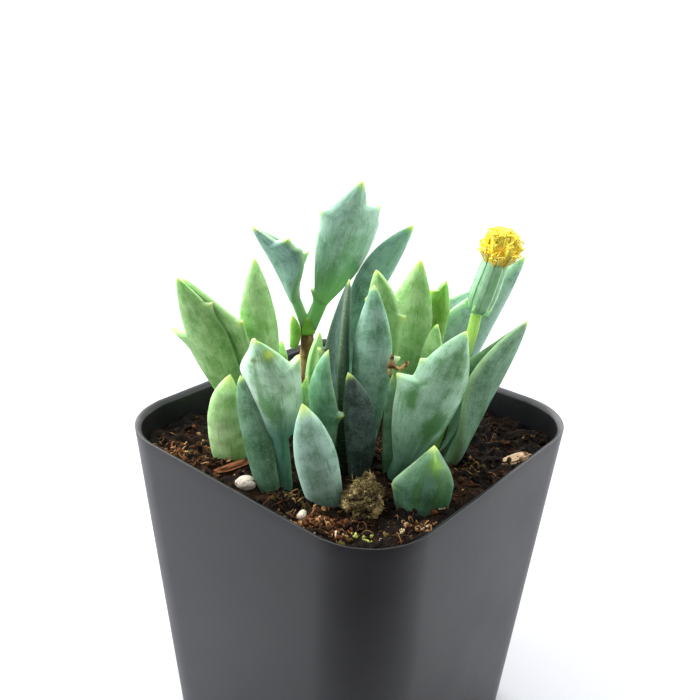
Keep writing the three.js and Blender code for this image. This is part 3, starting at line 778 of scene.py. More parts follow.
def soil_tone_and_shadow(x, y):
    """How light the soil is: less than 1 in the dark zones, whose two at the back hold painted shadow of the
    inner wall, and more in the pale ones.
    """
    across = x * math.cos(PLANT_TURN) + y * math.sin(PLANT_TURN)
    away = y * math.cos(PLANT_TURN) - x * math.sin(PLANT_TURN)
    # dry holds the soil's tone here, with the painted shadow of the two back zones in it.
    dry = np.ones_like(across)
    for middle, reach, amount in SOIL_ZONES:
        off = ((across - middle[0]) / reach[0]) ** 2 + ((away - middle[1]) / reach[1]) ** 2
        dry = dry * (1 + amount * np.exp(-off))
    return dry


def soil_surface():
    """Rings of the soil's top, from the wall to the middle."""
    inset = WALL + SOIL_INSET
    half = pot_half(SOIL_HEIGHT) - inset
    edge = rounded_square(half, CORNER_RADIUS - inset, 0, SOIL_STEPS, SOIL_STEPS)
    rings = []
    for share in np.linspace(1, 0, SOIL_ROWS + 1)[:-1]:
        ring = edge * share
        ring[:, 2] = soil_height(ring[:, 0], ring[:, 1])
        rings.append(ring)
    return rings


def lower_soil():
    """Plain rings from the pot's floor up to just under the surface."""
    rings = []
    for height, draw_in in SOIL_LEVELS:
        inset = WALL + SOIL_INSET + draw_in
        half = pot_half(height) - inset
        rings.append(rounded_square(half, CORNER_RADIUS - inset, height, SOIL_STEPS, SOIL_STEPS))
    return rings


middle_height = float(soil_height(0, 0))
soil_rings = [*lower_soil(), *soil_surface()]
soil_points, soil_faces = loft(soil_rings, (0, 0, FLOOR + SOIL_INSET), (0, 0, middle_height))
patch = soft_noise(soil_points, 3.1, 8)[:, None]
fleck = soft_noise(soil_points, 0.7, 9)[:, None]
brownness = ease(patch + 0.5 * fleck, -0.1, 1.4)
soil_tint = mix(SOIL_TINTS["black"], SOIL_TINTS["brown"], brownness)
# The zones darken the soil at the back, partly as painted shadow of the inner wall.
soil_tint[:, :3] *= soil_tone_and_shadow(soil_points[:, 0], soil_points[:, 1])[:, None]
soil = one_shape("potting_soil", soil_points, soil_faces, tint=soil_tint)
print("the soil's highest point is", soil_points[:, 2].max().round(1), "mm up")

# %% [markdown]
# Every grain and fibre keeps its own colour as a mark on its points, darkened at the back by the
# zones' painted shadow, and one finish reads it. It only adds what all peat has: a fine mottling,
# pale threads and flecks, a rough dull surface and small pores.

# %% The finish of peat, bark and grit
MOTTLE = colour(128, 118, 106)
THREAD_BROWN = colour(120, 84, 52)
FLECK_TAN = colour(188, 160, 120)


def earth_finish(name, mottle=0.35, pore=0.35, rough=0.95):
    """A dull crumbly finish over the colour that the points carry."""
    made = Finish(name)
    place = made.millimetres()
    coarse = made.noise(place, 0.9, 4, 0.65)
    fine = made.noise(place, 0.16, 3, 0.7)
    threads = made.noise(made.millimetres((1, 0.22, 0.6), (0.4, 0.2, 0.9)), 0.22, 3, 0.6)
    tint = made.mark("tint")
    shade = made.blend(1.0, tint, MOTTLE, "MULTIPLY")
    base = made.blend(made.ranged(coarse, 0.35, 0.65, mottle, 0), tint, shade)
    base = made.blend(made.ranged(threads, 0.58, 0.72, 0, 0.3), base, THREAD_BROWN)
    base = made.blend(made.ranged(fine, 0.66, 0.82, 0, 0.2), base, FLECK_TAN)
    made.bump(made.sum(made.sum(coarse, fine, 0.6), threads, 0.5), pore, 0.4)
    return made.done(base, made.ranged(fine, 0.3, 0.7, rough, rough - 0.1), Specular_IOR_Level=0.12)


peat_finish = earth_finish("peat_soil")
settle(soil, peat_finish, "peat_soil", "soil")

# %% Crumbs strewn over the soil
CRUMBS = 2100
CRUMB_ROOM = 0.9
CRUMB_LIFT = 0.3
CRUMB_NAMES = ["black", "dark", "brown", "red", "tan", "olive"]
CRUMB_WEIGHTS = [7, 7, 6, 2, 0.6, 1.5]
# Each patch has its middle, its spread, how many scraps it has, their colours with how often each
# comes, and their smallest and largest size.
SCRAP_PATCHES = [
    ((2.2, -28), (0.7, 0.25), 14, ["leafy"], [1], (0.2, 0.4)),
    ((5.2, -28.2), (0.3, 0.2), 4, ["pale"], [1], (0.2, 0.35)),
    ((7.8, -27.2), (0.5, 0.3), 8, ["pale", "leafy"], [3, 1], (0.15, 0.35)),
    ((10.6, -25.6), (1.2, 0.5), 26, ["tan", "pale", "brown"], [4, 1, 2], (0.15, 0.35)),
    ((-4.5, -26.2), (3, 1.6), 220, ["tan", "red", "pale", "brown"], [4, 5, 1, 4], (0.12, 0.45)),
    ((-26, -6.5), (5, 2), 120, ["brown", "tan", "red"], [6, 3, 2], (0.12, 0.3)),
]
crumb_points, crumb_faces = ball(2)


def strewn(count, inset):
    """Random places on the soil, at least inset from the wall, drawn again where they miss."""
    places = []
    while len(places) < count:
        x, y = draw.uniform(-POT_SIDE / 2, POT_SIDE / 2, 2)
        if wall_clearance(x, y, SOIL_HEIGHT) > inset:
            places.append((x, y))
    return np.array(places)


def crumb(heap, x, y, size, tint):
    """One rough grain, sunk a little into the soil."""
    shape = size * draw.uniform((0.75, 0.75, 0.5), (1.3, 1.1, 0.85))
    points = crumb_points * (1 + 0.55 * soft_noise(crumb_points + draw.uniform(0, 40, 3), 0.8))[:, None]
    points = spun(points * shape, draw.uniform(0, 2 * math.pi, 3))
    points += (x, y, soil_height(x, y) + size * CRUMB_LIFT)
    heap.add(points, [crumb_faces], tint=tint)


def tinted(x, y, names, weights, spread=0.25):
    """Draws one of the named colours for a place, a little lighter or darker, and darkened or lightened as
    the soil's zones are there, painted shadow at the back included.
    """
    name = draw.choice(names, p=np.array(weights) / np.sum(weights))
    chosen_tint = np.array(SOIL_TINTS[name])
    return (*(chosen_tint[:3] * draw.uniform(1 - spread, 1 + spread) * soil_tone_and_shadow(x, y)), 1)


crumb_heap = Heap()
for x, y in strewn(CRUMBS, CRUMB_ROOM):
    size = 0.14 + 0.5 * draw.random() ** 4
    crumb(crumb_heap, x, y, size, tinted(x, y, CRUMB_NAMES, CRUMB_WEIGHTS))
for middle, spread, count, names, weights, sizes in SCRAP_PATCHES:
    for across, away in draw.normal(middle, spread, (count, 2)):
        x, y, _ = from_plant([across, away, 0])
        if wall_clearance(x, y, SOIL_HEIGHT) > 0.6:
            crumb(crumb_heap, x, y, draw.uniform(*sizes), tinted(x, y, names, weights, 0.3))
crumbs = crumb_heap.object("soil_crumbs")
settle(crumbs, peat_finish, "peat_soil")

# %% [markdown]
# Coir and root fibres are what gives peat its tangled look. Each one here is a thin bar along a
# wandering path. Most hug the surface, and some arch over it. Toward the near corner the photo
# shows short reddish curls, so there the fibres are shorter and bent more, and many are fatter.

# %% Fibres and curls in the soil
FIBRES = 1000
FIBRE_ROOM = 1.2
FIBRE_NAMES = ["dark", "brown", "red", "tan", "olive", "pale"]
FIBRE_WEIGHTS = [5, 7, 3, 0.8, 1.2, 0.1]
FIBRE_BEND = 1.8
CURL_BEND = 2.6
EARTHY = ["red", "brown", "tan", "olive"]
CURL_PATCHES = [
    ((-5, -25.6), (3.6, 2), 130, ["red", "brown", "tan", "pale"], [6, 5, 4, 0.5]),
    ((-26, -7), (5, 1.6), 170, EARTHY, [3, 6, 4, 0.5]),
    ((-7.5, -19.5), (1.6, 1.4), 60, EARTHY, [0.3, 1, 2.5, 5]),
    ((10.5, -25.5), (1.8, 0.8), 26, EARTHY, [1, 2, 5, 1]),
    ((18, -7), (3, 2.2), 60, EARTHY, [0.5, 3, 1.5, 5]),
]


def fibre(heap, x, y, length, radius, arch, bend, tint, steps=9, sides=5):
    """One fibre that wanders over the soil from x, y."""
    heading = draw.uniform(0, 2 * math.pi)
    turning = draw.normal(0, bend)
    path = []
    for step in range(steps):
        share = step / (steps - 1)
        lift = radius * 0.6 + arch * math.sin(math.pi * share)
        path.append((x, y, float(soil_height(x, y)) + lift))
        turning += draw.normal(0, bend / 3)
        heading += turning / steps
        x += length / steps * math.cos(heading)
        y += length / steps * math.sin(heading)
    path = np.array(path)
    if wall_clearance(path[:, 0], path[:, 1], SOIL_HEIGHT).min() < 0.5:
        return
    path[:, 2] = 0.5 * path[:, 2] + 0.5 * np.convolve(np.pad(path[:, 2], 1, "edge"), [1 / 3] * 3, "valid")
    points, faces = bar(path, [0.4 * radius, radius, radius, 0.7 * radius, 0.2 * radius], sides)
    heap.add(points, faces, tint=tint)


fibre_heap = Heap()
for x, y in strewn(FIBRES, FIBRE_ROOM):
    fibre_tint = tinted(x, y, FIBRE_NAMES, FIBRE_WEIGHTS)
    length = draw.uniform(1.2, 4.5)
    radius = draw.uniform(0.04, 0.11)
    fibre(fibre_heap, x, y, length, radius, draw.uniform(0, 0.6), FIBRE_BEND, fibre_tint)
for middle, spread, count, names, weights in CURL_PATCHES:
    for across, away in draw.normal(middle, spread, (count, 2)):
        x, y, _ = from_plant([across, away, 0])
        if wall_clearance(x, y, SOIL_HEIGHT) > 0.8:
            length = draw.uniform(0.8, 2.4)
            radius = draw.uniform(0.05, 0.17)
            curl_tint = tinted(x, y, names, weights, 0.35)
            fibre(fibre_heap, x, y, length, radius, draw.uniform(0, 0.5), CURL_BEND, curl_tint, 9, 7)
fibres = fibre_heap.object("soil_fibres")
settle(fibres, peat_finish, "peat_soil")

# %% [markdown]
# ## Loose bits on the soil
# A fuzzy clump of peat and moss stands at the near corner, white perlite grains lie round it, and
# two bark chips lie on the surface. Perlite and bark start as the same rough balls that the
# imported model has, so they stay in their hollows, and then get their own surface: pits for
# perlite and layers for bark. The clump has lobes and lumps of its own, in the same place, under
# a coat of grains and short hairs.

# %% Rough balls and where they lie
def rough_ball(name, level, unevenness=0.14):
    """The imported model's uneven ball of about radius 1 for a bit: directions, points and faces."""
    seed = list(BITS).index(name) + 1
    directions, faces = ball(level)
    x, y, z = directions.T
    wave = np.sin(3.1 * x + seed) + np.sin(3.7 * y + 2 * seed) + np.sin(2.9 * z + 3 * seed)
    shape = directions * (1 + unevenness * wave / 2)[:, None]
    return directions, shape, faces


def placed(name, shape):
    """Stretches a bit's shape to size, turns it and lays it in the pot."""
    bit = BITS[name]
    return spun(shape * bit["half"], (0, 0, bit["turn"])) + bit["place"]


print(len(BITS), "loose bits lie on the soil")

# %% Perlite grains
PERLITE_TINT = colour(226, 216, 200)


def perlite_grain(name):
    """A white grain with small pits and blunt corners."""
    directions, shape, faces = rough_ball(name, 5)
    facets = soft_noise(directions, 0.75, 12)
    pits = np.clip(soft_noise(directions, 0.28, 13), -1, 0)
    shape = shape * (1 + 0.07 * facets + 0.1 * pits)[:, None]
    # The pits are painted up to 28% darker: painted shade in them.
    shade = mix(0.72, 1.0, ease(pits, -0.6, 0))[:, None]
    tint = np.array(PERLITE_TINT) * np.hstack([shade, shade, shade, np.ones_like(shade)])
    return one_shape(name + "_grain", placed(name, shape), [faces], tint=tint)


perlite_finish = earth_finish("perlite", 0.18, 0.25, 0.85)
for perlite_name in ("perlite_1", "perlite_2", "perlite_3", "perlite_4"):
    settle(perlite_grain(perlite_name), perlite_finish, "perlite", perlite_name)

# %% Bark chips
def bark_chip(name, light, dark, layers):
    """A split flake of bark whose layers run along it."""
    directions, shape, faces = rough_ball(name, 6, 0.1)
    blocky = np.sign(shape) * np.abs(shape) ** 0.8
    layer = np.sin(layers * directions[:, 2] + 1.4 * soft_noise(directions * (0.4, 1, 1), 0.5, 14))
    split = soft_noise(directions * (0.25, 1.6, 1.6), 0.35, 15)
    ends = soft_noise(directions, 0.22, 16) * np.abs(directions[:, 0]) ** 4
    swell = 1 + 0.06 * layer + 0.16 * split + 0.25 * ends
    share = ease(layer + 1.2 * split, -1.2, 1.3)[:, None]
    chip = placed(name, blocky * 0.92 * swell[:, None])
    return one_shape(name + "_flake", chip, [faces], tint=mix(dark, light, share))


bark_finish = earth_finish("bark", 0.3, 0.4, 0.9)
settle(bark_chip("bark_chip_right", colour(214, 186, 150), colour(104, 74, 48), 9),
       bark_finish, "pale_bark", "bark_chip_right")
settle(bark_chip("bark_chip_left", colour(150, 96, 60), colour(66, 42, 28), 7),
       bark_finish, "red_bark", "bark_chip_left")

# %% The fuzzy clump
CLUMP_GRAINS = 5200
CLUMP_HAIRS = 1500
CLUMP_DARK = colour(48, 42, 28)
CLUMP_OLIVE = colour(118, 106, 68)
CLUMP_GOLD = colour(222, 198, 138)
CLUMP_SINK = 0.5
# Each lobe points somewhere in the plant's directions, stands out by so much and is so wide.
CLUMP_LOBES = [((0, 0, 1), 0.14, 0.5), ((-0.9, -0.4, -0.5), 0.26, 0.5), ((0.9, -0.3, 0.2), -0.2, 0.8)]
grain_points, grain_faces = ball(1)


def clump_surface(directions):
    """Points on the clump's lobed and lumpy surface for any directions."""
    swell = 0.68 + 0.22 * soft_noise(directions, 0.55, 17) + 0.18 * soft_noise(directions, 0.26, 18)
    swell = swell + 0.08 * soft_noise(directions, 0.12, 27)
    for toward, out, width in CLUMP_LOBES:
        toward = from_plant(toward) / np.linalg.norm(toward)
        swell = swell + out * np.exp(-(np.linalg.norm(directions - toward, axis=1) / width) ** 2)
    return placed("peat_clump", directions * swell[:, None]) - (0, 0, CLUMP_SINK)


def random_directions(count):
    """Directions spread evenly over a ball."""
    vectors = draw.normal(0, 1, (count, 3))
    return vectors / np.linalg.norm(vectors, axis=1)[:, None]


def clump_tints(places, spread):
    """Dark, olive and dry gold in soft patches of noise, with a random part."""
    cluster = soft_noise(places, 1.1, 19) + draw.normal(0, spread, len(places))
    tints = mix(CLUMP_DARK, CLUMP_OLIVE, ease(cluster, -0.7, 0.3)[:, None])
    return mix(tints, CLUMP_GOLD, ease(cluster, 0.35, 1.3)[:, None])


clump_heap = Heap()
core_directions, core_faces = ball(6)
core_places = clump_surface(core_directions)
clump_heap.add(core_places, [core_faces], tint=clump_tints(core_places, 0.1))
grain_places = clump_surface(random_directions(CLUMP_GRAINS))
for place, tint in zip(grain_places, clump_tints(grain_places, 0.45)):
    grain = spun(grain_points * draw.uniform(0.05, 0.19, 3), draw.uniform(0, 6, 3))
    clump_heap.add(place + grain, [grain_faces], tint=tint)
hair_directions = random_directions(CLUMP_HAIRS)
hair_places = clump_surface(hair_directions)
for place, outward, tint in zip(hair_places, hair_directions, clump_tints(hair_places, 0.45)):
    drift = draw.normal(0, 0.9, 3)
    length = draw.uniform(0.15, 0.45)
    hair = np.array([place + length * share * (outward + drift * share) for share in np.linspace(0, 1, 4)])
    points, faces = bar(hair, [0.035, 0.03, 0.012], 3)
    clump_heap.add(points, faces, tint=tint)
clump = clump_heap.object("peat_clump_fuzz")
settle(clump, earth_finish("moss_peat", 0.3, 0.3, 0.95), "moss_peat", "peat_clump")

# %% [markdown]
# ## The leaves
# This senecio's leaf is a thick cupped blade on a slender foot, often with a tooth on one or
# both margins like the barbs of a spearhead. Young leaves are plain rounded pods. One
# formula makes them all: a rib through three points, a half width that swells and narrows, two
# halves that curl in from the rib, and teeth that push the margin out. It is the same formula
# that made the imported model, with many more points.

# %% What every leaf is described by
# A leaf's half width is stalk at its neck and grows to half at its widest share, as steeply as
# flare says, and point says how it narrows to the tip. Its halves open by crease and curl by cup,
# both in degrees, and it is thick in the middle. Its tip is lime for so many millimetres, and its
# foot is darker from foot_from to foot_reach: partly its darker flesh and partly painted shade
# deep in the clump.
LEFT = -1
RIGHT = 1
LEAF_EDGE = 0.3
TOOTH_BELOW = 0.07
TOOTH_ABOVE = 0.03

SPEARHEAD = {
    "stalk": 1.1, "neck": 0.15, "widest": 0.68, "flare": 1.2, "point": 1.15,
    "crease": 0, "cup": 60, "thick": 1.7, "teeth": [],
    "lime": 1.6, "rubs": [], "foot": 0.6, "foot_from": 0.05, "foot_reach": 0.5,
}
POD = {
    "stalk": 1.9, "neck": 0, "widest": 0.5, "flare": 0.8, "point": 1.9,
    "crease": 0, "cup": 40, "thick": 3, "teeth": [],
    "lime": 1.8, "rubs": [], "foot": 0.3, "foot_from": 0.05, "foot_reach": 0.4,
}


def tooth(side, at, out, rise=0.5, cut=0):
    """A tooth: its margin, its share along the leaf, how far it stands out and up, and the cut above."""
    return {"side": side, "at": at, "out": out, "rise": rise, "cut": cut}


def rub(at, across, long, wide, amount=0.8, stain=None):
    """A patch at shares along and across the leaf where the bloom is rubbed off, or is stained, or where a
    stain paints shade or light.
    """
    return {"at": at, "across": across, "long": long, "wide": wide, "amount": amount, "stain": stain}


def leaf(kind, root, mid, tip, back, half, look, **changes):
    """One leaf: its rib's three points, the way its back faces, its half widths and its colours."""
    own = {"root": root, "mid": mid, "tip": tip, "back": back, "half": half, "look": look}
    return {**kind, **own, **changes}


print("a spearhead leaf is widest at", SPEARHEAD["widest"], "of its length")

# %% Colours of flesh and bloom
# Each look is the green flesh under the bloom, the powdery bloom itself and how much bloom is left.
# The single colours after the looks stain the places that rubs name, and some of them paint shade or light
# there, as their notes say.
BLUE = (colour(78, 130, 92), colour(156, 196, 178), 0.56)
PALE = (colour(114, 172, 118), colour(204, 234, 212), 0.6)
TEAL = (colour(82, 144, 94), colour(150, 198, 170), 0.5)
FRESH = (colour(104, 162, 74), colour(172, 212, 144), 0.48)
LIME = (colour(116, 176, 50), colour(170, 208, 112), 0.4)
DARK = (colour(40, 52, 48), colour(100, 120, 118), 0.35)
DEEP = (colour(62, 108, 66), colour(122, 164, 134), 0.5)
SKY = (colour(92, 138, 114), colour(170, 204, 192), 0.6)
LIGHT = (colour(138, 196, 102), colour(204, 236, 178), 0.5)
SLATE = (colour(66, 110, 90), colour(138, 176, 168), 0.56)
# The next look is a darker copy of the leaf colours: painted shade for a leaf deep in the clump.
PAINTED_SHADE_LOOK = (colour(38, 70, 52), colour(78, 110, 98), 0.45)
SOFT = (colour(98, 150, 102), colour(174, 214, 186), 0.6)
SHADY = (colour(54, 100, 62), colour(98, 142, 116), 0.5)
SPOT = colour(232, 240, 112)
BROWN = colour(122, 116, 62)
GRASS = colour(84, 138, 74)
# The next colour is painted shade on the flanks of that leaf.
FLANK_PAINTED_SHADE = colour(40, 74, 54)
# The next colour is thicker white bloom, and partly painted light on a margin that the left lamp lights.
CHALK_AND_LIT_EDGE = colour(226, 248, 232)
FADED = colour(108, 158, 104)
# The next colour is a fresher green for leaf necks, partly painted glow of light through them.
NECK_GREEN_AND_GLOW = colour(146, 210, 118)
BRIGHT = colour(150, 204, 72)
# Leaf feet are darkened toward this colour: partly their darker flesh and partly painted shade deep in the
# clump.
FOOT_SHADE = (0.15, 0.3, 0.28, 1)
print("thirteen looks, from", np.round(DARK[0][:3], 2), "to", np.round(PALE[1][:3], 2))

# %% The shape of one leaf
REACHES = np.array([0, 0.12, 0.24, 0.36, 0.48, 0.6, 0.71, 0.81, 0.88, 0.93, 0.965, 0.988, 1])
RING_ACROSS = np.concatenate([-REACHES[::-1], REACHES[1:], REACHES[1:-1][::-1], -REACHES[:-1]])
RING_FACE = np.concatenate([np.ones(2 * len(REACHES) - 1), -np.ones(2 * len(REACHES) - 3)])
LEAF_ROWS = 60
TOOTH_ROWS = 16


def leaf_rows(shape):
    """Shares along a leaf at which it gets a ring, closer at the tip and round each tooth."""
    rows = [np.linspace(0, 0.94, LEAF_ROWS), np.linspace(0.94, 0.995, 10)]
    for spike in shape["teeth"]:
        rows.append(np.linspace(spike["at"] - TOOTH_BELOW, spike["at"] + TOOTH_ABOVE, TOOTH_ROWS))
    return np.unique(np.concatenate(rows).round(4))


def tooth_share(spike, share):
    """How strongly a tooth shows along the leaf, with flanks that curve in like a thorn's."""
    below = np.clip(1 - (spike["at"] - share) / TOOTH_BELOW, 0, 1) ** 1.5
    above = np.clip(1 - (share - spike["at"]) / TOOTH_ABOVE, 0, 1) ** 1.2
    return np.where(share < spike["at"], below, above)


def half_width(shape, side, share):
    """Half the leaf's width on one side at shares along it."""
    full = shape["half"][0 if side == LEFT else 1]
    kept = np.ones_like(share)
    for spike in shape["teeth"]:
        if spike["side"] == side:
            kept *= 1 - spike["cut"] * ease(share, spike["at"], spike["at"] + TOOTH_ABOVE)
    swell = np.clip((share - shape["neck"]) / (shape["widest"] - shape["neck"]), 0, 1)
    below = mix(shape["stalk"], full, np.sin(swell * math.pi / 2) ** shape["flare"])
    beyond = np.clip((share - shape["widest"]) / (1 - shape["widest"]), 0, 1)
    above = full * (1 - beyond ** shape["point"])
    return kept * np.where(share < shape["widest"], below, above)


def rib_curve(shape, share):
    """Points and directions along the rib, which bends through root, mid and tip."""
    root, mid, tip = (np.array(shape[name], float) for name in ("root", "mid", "tip"))
    control = 2 * mid - 0.5 * root - 0.5 * tip
    points = (1 - share) ** 2 * root + 2 * share * (1 - share) * control + share ** 2 * tip
    along = 2 * (1 - share) * (control - root) + 2 * share * (tip - control)
    return points, along / np.linalg.norm(along, axis=-1, keepdims=True)


print("a leaf's ring has", len(RING_ACROSS), "points")

# %% Skinning a leaf and marking its points
def leaf_shape(shape, number):
    """The points, faces and marks of one leaf, in the plant's directions."""
    share = leaf_rows(shape)[:, None]
    rib, along = rib_curve(shape, share)
    facing = math.radians(shape["back"])
    out = np.array([math.sin(facing), -math.cos(facing), 0])
    out = out - along * (along @ out)[:, None]
    out /= np.linalg.norm(out, axis=-1, keepdims=True)
    right_hand = np.cross(along, out)
    side = np.where(RING_ACROSS < 0, LEFT, RIGHT)[None, :]
    reach = np.abs(RING_ACROSS)[None, :]
    width = np.where(side == LEFT, half_width(shape, LEFT, share), half_width(shape, RIGHT, share))
    jut = np.zeros_like(width)
    rise = np.zeros_like(width)
    thorn = np.zeros_like(width)
    spread = np.clip((reach - 0.45) / 0.55, 0, 1) ** 1.3
    for spike in shape["teeth"]:
        strength = tooth_share(spike, share) * spread * (side == spike["side"])
        jut += spike["out"] * strength
        rise += spike["rise"] * strength
        thorn = np.maximum(thorn, strength)
    opened = ease(share / shape["widest"])
    body = np.sqrt(1 - share ** 6) * mix(2 * shape["stalk"], shape["thick"], opened)
    half_body = np.minimum(body / 2, 0.8 * width + 0.03)
    edge = np.minimum(LEAF_EDGE, half_body)
    round_off = np.sqrt(np.clip(1 - (np.clip(reach - 0.86, 0, 1) / 0.14) ** 2, 0, 1))
    depth = edge * round_off + (half_body - edge) * np.sqrt(1 - reach ** 3)
    crease = math.radians(shape["crease"]) * opened
    curl = np.maximum(math.radians(shape["cup"]) * opened, 0.01)
    angle = crease + curl * reach
    place = np.stack([side * reach * width, share * np.ones_like(reach), np.zeros_like(width)], axis=-1)
    uneven = soft_noise(place * (0.5, 14, 1) + 3.7 * number, 1.0, 20)
    width = (width + jut) * (1 + 0.012 * uneven)
    normal = out[:, None] * np.cos(angle)[..., None]
    normal = normal + right_hand[:, None] * (side * np.sin(angle))[..., None]
    points = (rib[:, None]
              + right_hand[:, None] * (side * width * (np.sin(angle) - np.sin(crease)) / curl)[..., None]
              + out[:, None] * (width * (np.cos(angle) - np.cos(crease)) / curl)[..., None]
              + normal * (RING_FACE[None, :] * depth * (1 + 0.05 * uneven))[..., None]
              + along[:, None] * rise[..., None])
    points, faces = loft(points, rib[0], rib_curve(shape, np.array([[1.0]]))[0][0])
    return points, faces, leaf_marks(shape, number, share, side * reach, thorn)


def leaf_marks(shape, number, share, across, thorn):
    """What the points of a leaf carry for its finish: colours with a darker foot that is partly painted
    shade, tip, margin with painted glow, rubbed places, place.
    """
    length = np.linalg.norm(np.subtract(shape["tip"], shape["root"]))
    size = (len(share), across.shape[1])
    wide = across * max(shape["half"]) * np.ones(size)
    tall = share * length * np.ones(size)
    flesh_colour, powder_colour, bloom = shape["look"]
    flesh = np.broadcast_to(flesh_colour, (*size, 4)).copy()
    powder = np.broadcast_to(powder_colour, (*size, 4)).copy()
    to_tip = (1 - share) * length + np.zeros(size)
    tip_mark = np.maximum(ease(1 - to_tip / shape["lime"]), ease(thorn, 0.35, 0.95))
    worn = np.full(size, 0.5 - bloom)
    # The margin mark: the thin pale edge, partly painted light glowing through it.
    margin = ease(np.abs(across), 0.84, 0.97) * np.ones(size)
    streaks = soft_noise(np.stack([wide, tall / 3, np.full(size, 5.1 * number)], axis=-1), 0.9, 28)
    for rubbed in shape["rubs"]:
        off = ((share - rubbed["at"]) / rubbed["long"]) ** 2
        off = off + ((across - rubbed["across"]) / rubbed["wide"]) ** 2
        strength = np.exp(-off * (1 + 0.8 * streaks))
        worn += rubbed["amount"] * strength * (1 + 0.5 * streaks)
        if rubbed["stain"] is not None:
            flesh = mix(flesh, rubbed["stain"], 0.8 * strength[..., None])
            margin = margin * (1 - 0.8 * strength)
    # The foot is darkened, partly for its darker flesh and partly as painted shade, and the margin's painted
    # glow fades there.
    shade = shape["foot"] * (1 - ease(share, shape["foot_from"], shape["foot_reach"]))
    margin = margin * (1 - np.minimum(shade, 0.9))
    shade = mix(np.ones(4), FOOT_SHADE, shade[..., None])
    marks = {
        "flesh": (flesh * shade).reshape(-1, 4),
        "powder": (powder * shade).reshape(-1, 4),
        "marks": np.stack([tip_mark, margin, worn], axis=-1).reshape(-1, 3),
        "place": np.stack([wide, tall, np.full(size, 9.7 * number)], axis=-1).reshape(-1, 3),
    }
    return {name: np.vstack([rows, rows[:1], rows[-1:]]) for name, rows in marks.items()}


print("leaf_shape turns a description into points, faces and marks")

# %% [markdown]
# A leaf of this plant is green flesh under a thin blue-grey bloom of wax. The bloom is cloudy,
# wiped off in patches and drawn out in fine lines along the leaf. The margins are thin and pale,
# and part of their paleness is painted light glowing through them. The tips and teeth are lime
# yellow. Noises in the leaf's own place, some cloudy and some stretched along the leaf, decide how
# much bloom shows, and the marks add the rest.

# %% The finish of flesh and bloom
VEIN_GREEN = colour(66, 112, 62)
SCRATCH_SHADE = colour(134, 160, 140)
POWDER_WHITE = colour(214, 236, 216)
MARGIN_AND_RIM_GLOW = colour(196, 226, 172)
FRECKLE = colour(120, 118, 70)
LIME_TIP = colour(206, 226, 122)


def leaf_finish(name, rough_flesh, rough_bloom):
    """Waxy succulent leaf: flesh under a patchy bloom, pale margins that are partly painted light glowing
    through them, and lime tips.
    """
    made = Finish(name)
    place = made.mark("place", "Vector")
    marks = made.parts("marks")
    long_place = made.stretched(place, (1, 0.1, 1))
    clouds = made.noise(place, 3.0, 5, 0.65)
    lines = made.noise(long_place, 0.5, 3, 0.6)
    fine_lines = made.noise(long_place, 0.16, 2, 0.5)
    powder_grain = made.noise(place, 0.2, 3, 0.7)
    worn_patches = made.noise(place, 1.9, 4, 0.65)
    scratches = made.noise(made.stretched(place, (1, 0.07, 1)), 0.28, 4, 0.7)
    cover = made.sum(made.sum(clouds, lines, 0.3), powder_grain, 0.25)
    cover = made.ranged(made.sum(cover, marks["Z"], -0.6), 0.5, 0.98)
    base = made.blend(cover, made.mark("flesh"), made.mark("powder"))
    base = made.blend(made.ranged(worn_patches, 0.56, 0.66, 0, 0.4), base, made.mark("flesh"))
    base = made.blend(made.ranged(fine_lines, 0.45, 0.7, 0, 0.14), base, VEIN_GREEN)
    darker = made.blend(1.0, base, SCRATCH_SHADE, "MULTIPLY")
    base = made.blend(made.ranged(scratches, 0.6, 0.68, 0, 0.75), base, darker)
    base = made.blend(made.ranged(powder_grain, 0.5, 0.75, 0, 0.2), base, POWDER_WHITE)
    # The pale margin is partly the thin edge's own colour and partly painted light glowing through it.
    base = made.blend(made.times(marks["Y"], 0.42), base, MARGIN_AND_RIM_GLOW)
    base = made.blend(made.times(marks["X"], 0.85), base, LIME_TIP)
    spots = made.node("ShaderNodeTexVoronoi", {"Vector": place, "Scale": 0.3}).outputs["Distance"]
    base = made.blend(made.ranged(spots, 0.02, 0.05, 0.5, 0), base, FRECKLE)
    made.bump(made.sum(made.sum(lines, fine_lines, 0.5), powder_grain, 0.3), 0.22, 0.12)
    rough = made.ranged(cover, 0, 1, rough_flesh, rough_bloom)
    made.shader.subsurface_method = "RANDOM_WALK"
    return made.done(base, rough, Subsurface_Weight=0.4, Subsurface_Radius=(0.6, 1.0, 0.35),
                     Subsurface_Scale=0.002, IOR=1.42, Specular_IOR_Level=0.45)


leaf_finishes = {
    "glaucous_leaf": leaf_finish("glaucous_leaf", 0.4, 0.62),
    "young_leaf": leaf_finish("young_leaf", 0.38, 0.58),
    "dark_leaf": leaf_finish("dark_leaf", 0.4, 0.6),
}
print("leaf finishes:", *leaf_finishes)

# %% [markdown]
# ## The shoots
# The plant has spread into a clump of short shoots. Each is a crown with one to seven leaves, in
# the soil or, for the tall one, on an old stem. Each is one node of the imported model, so each
# becomes one object. The next three cells describe the shoots leaf by leaf, as they stand in the
# photograph.

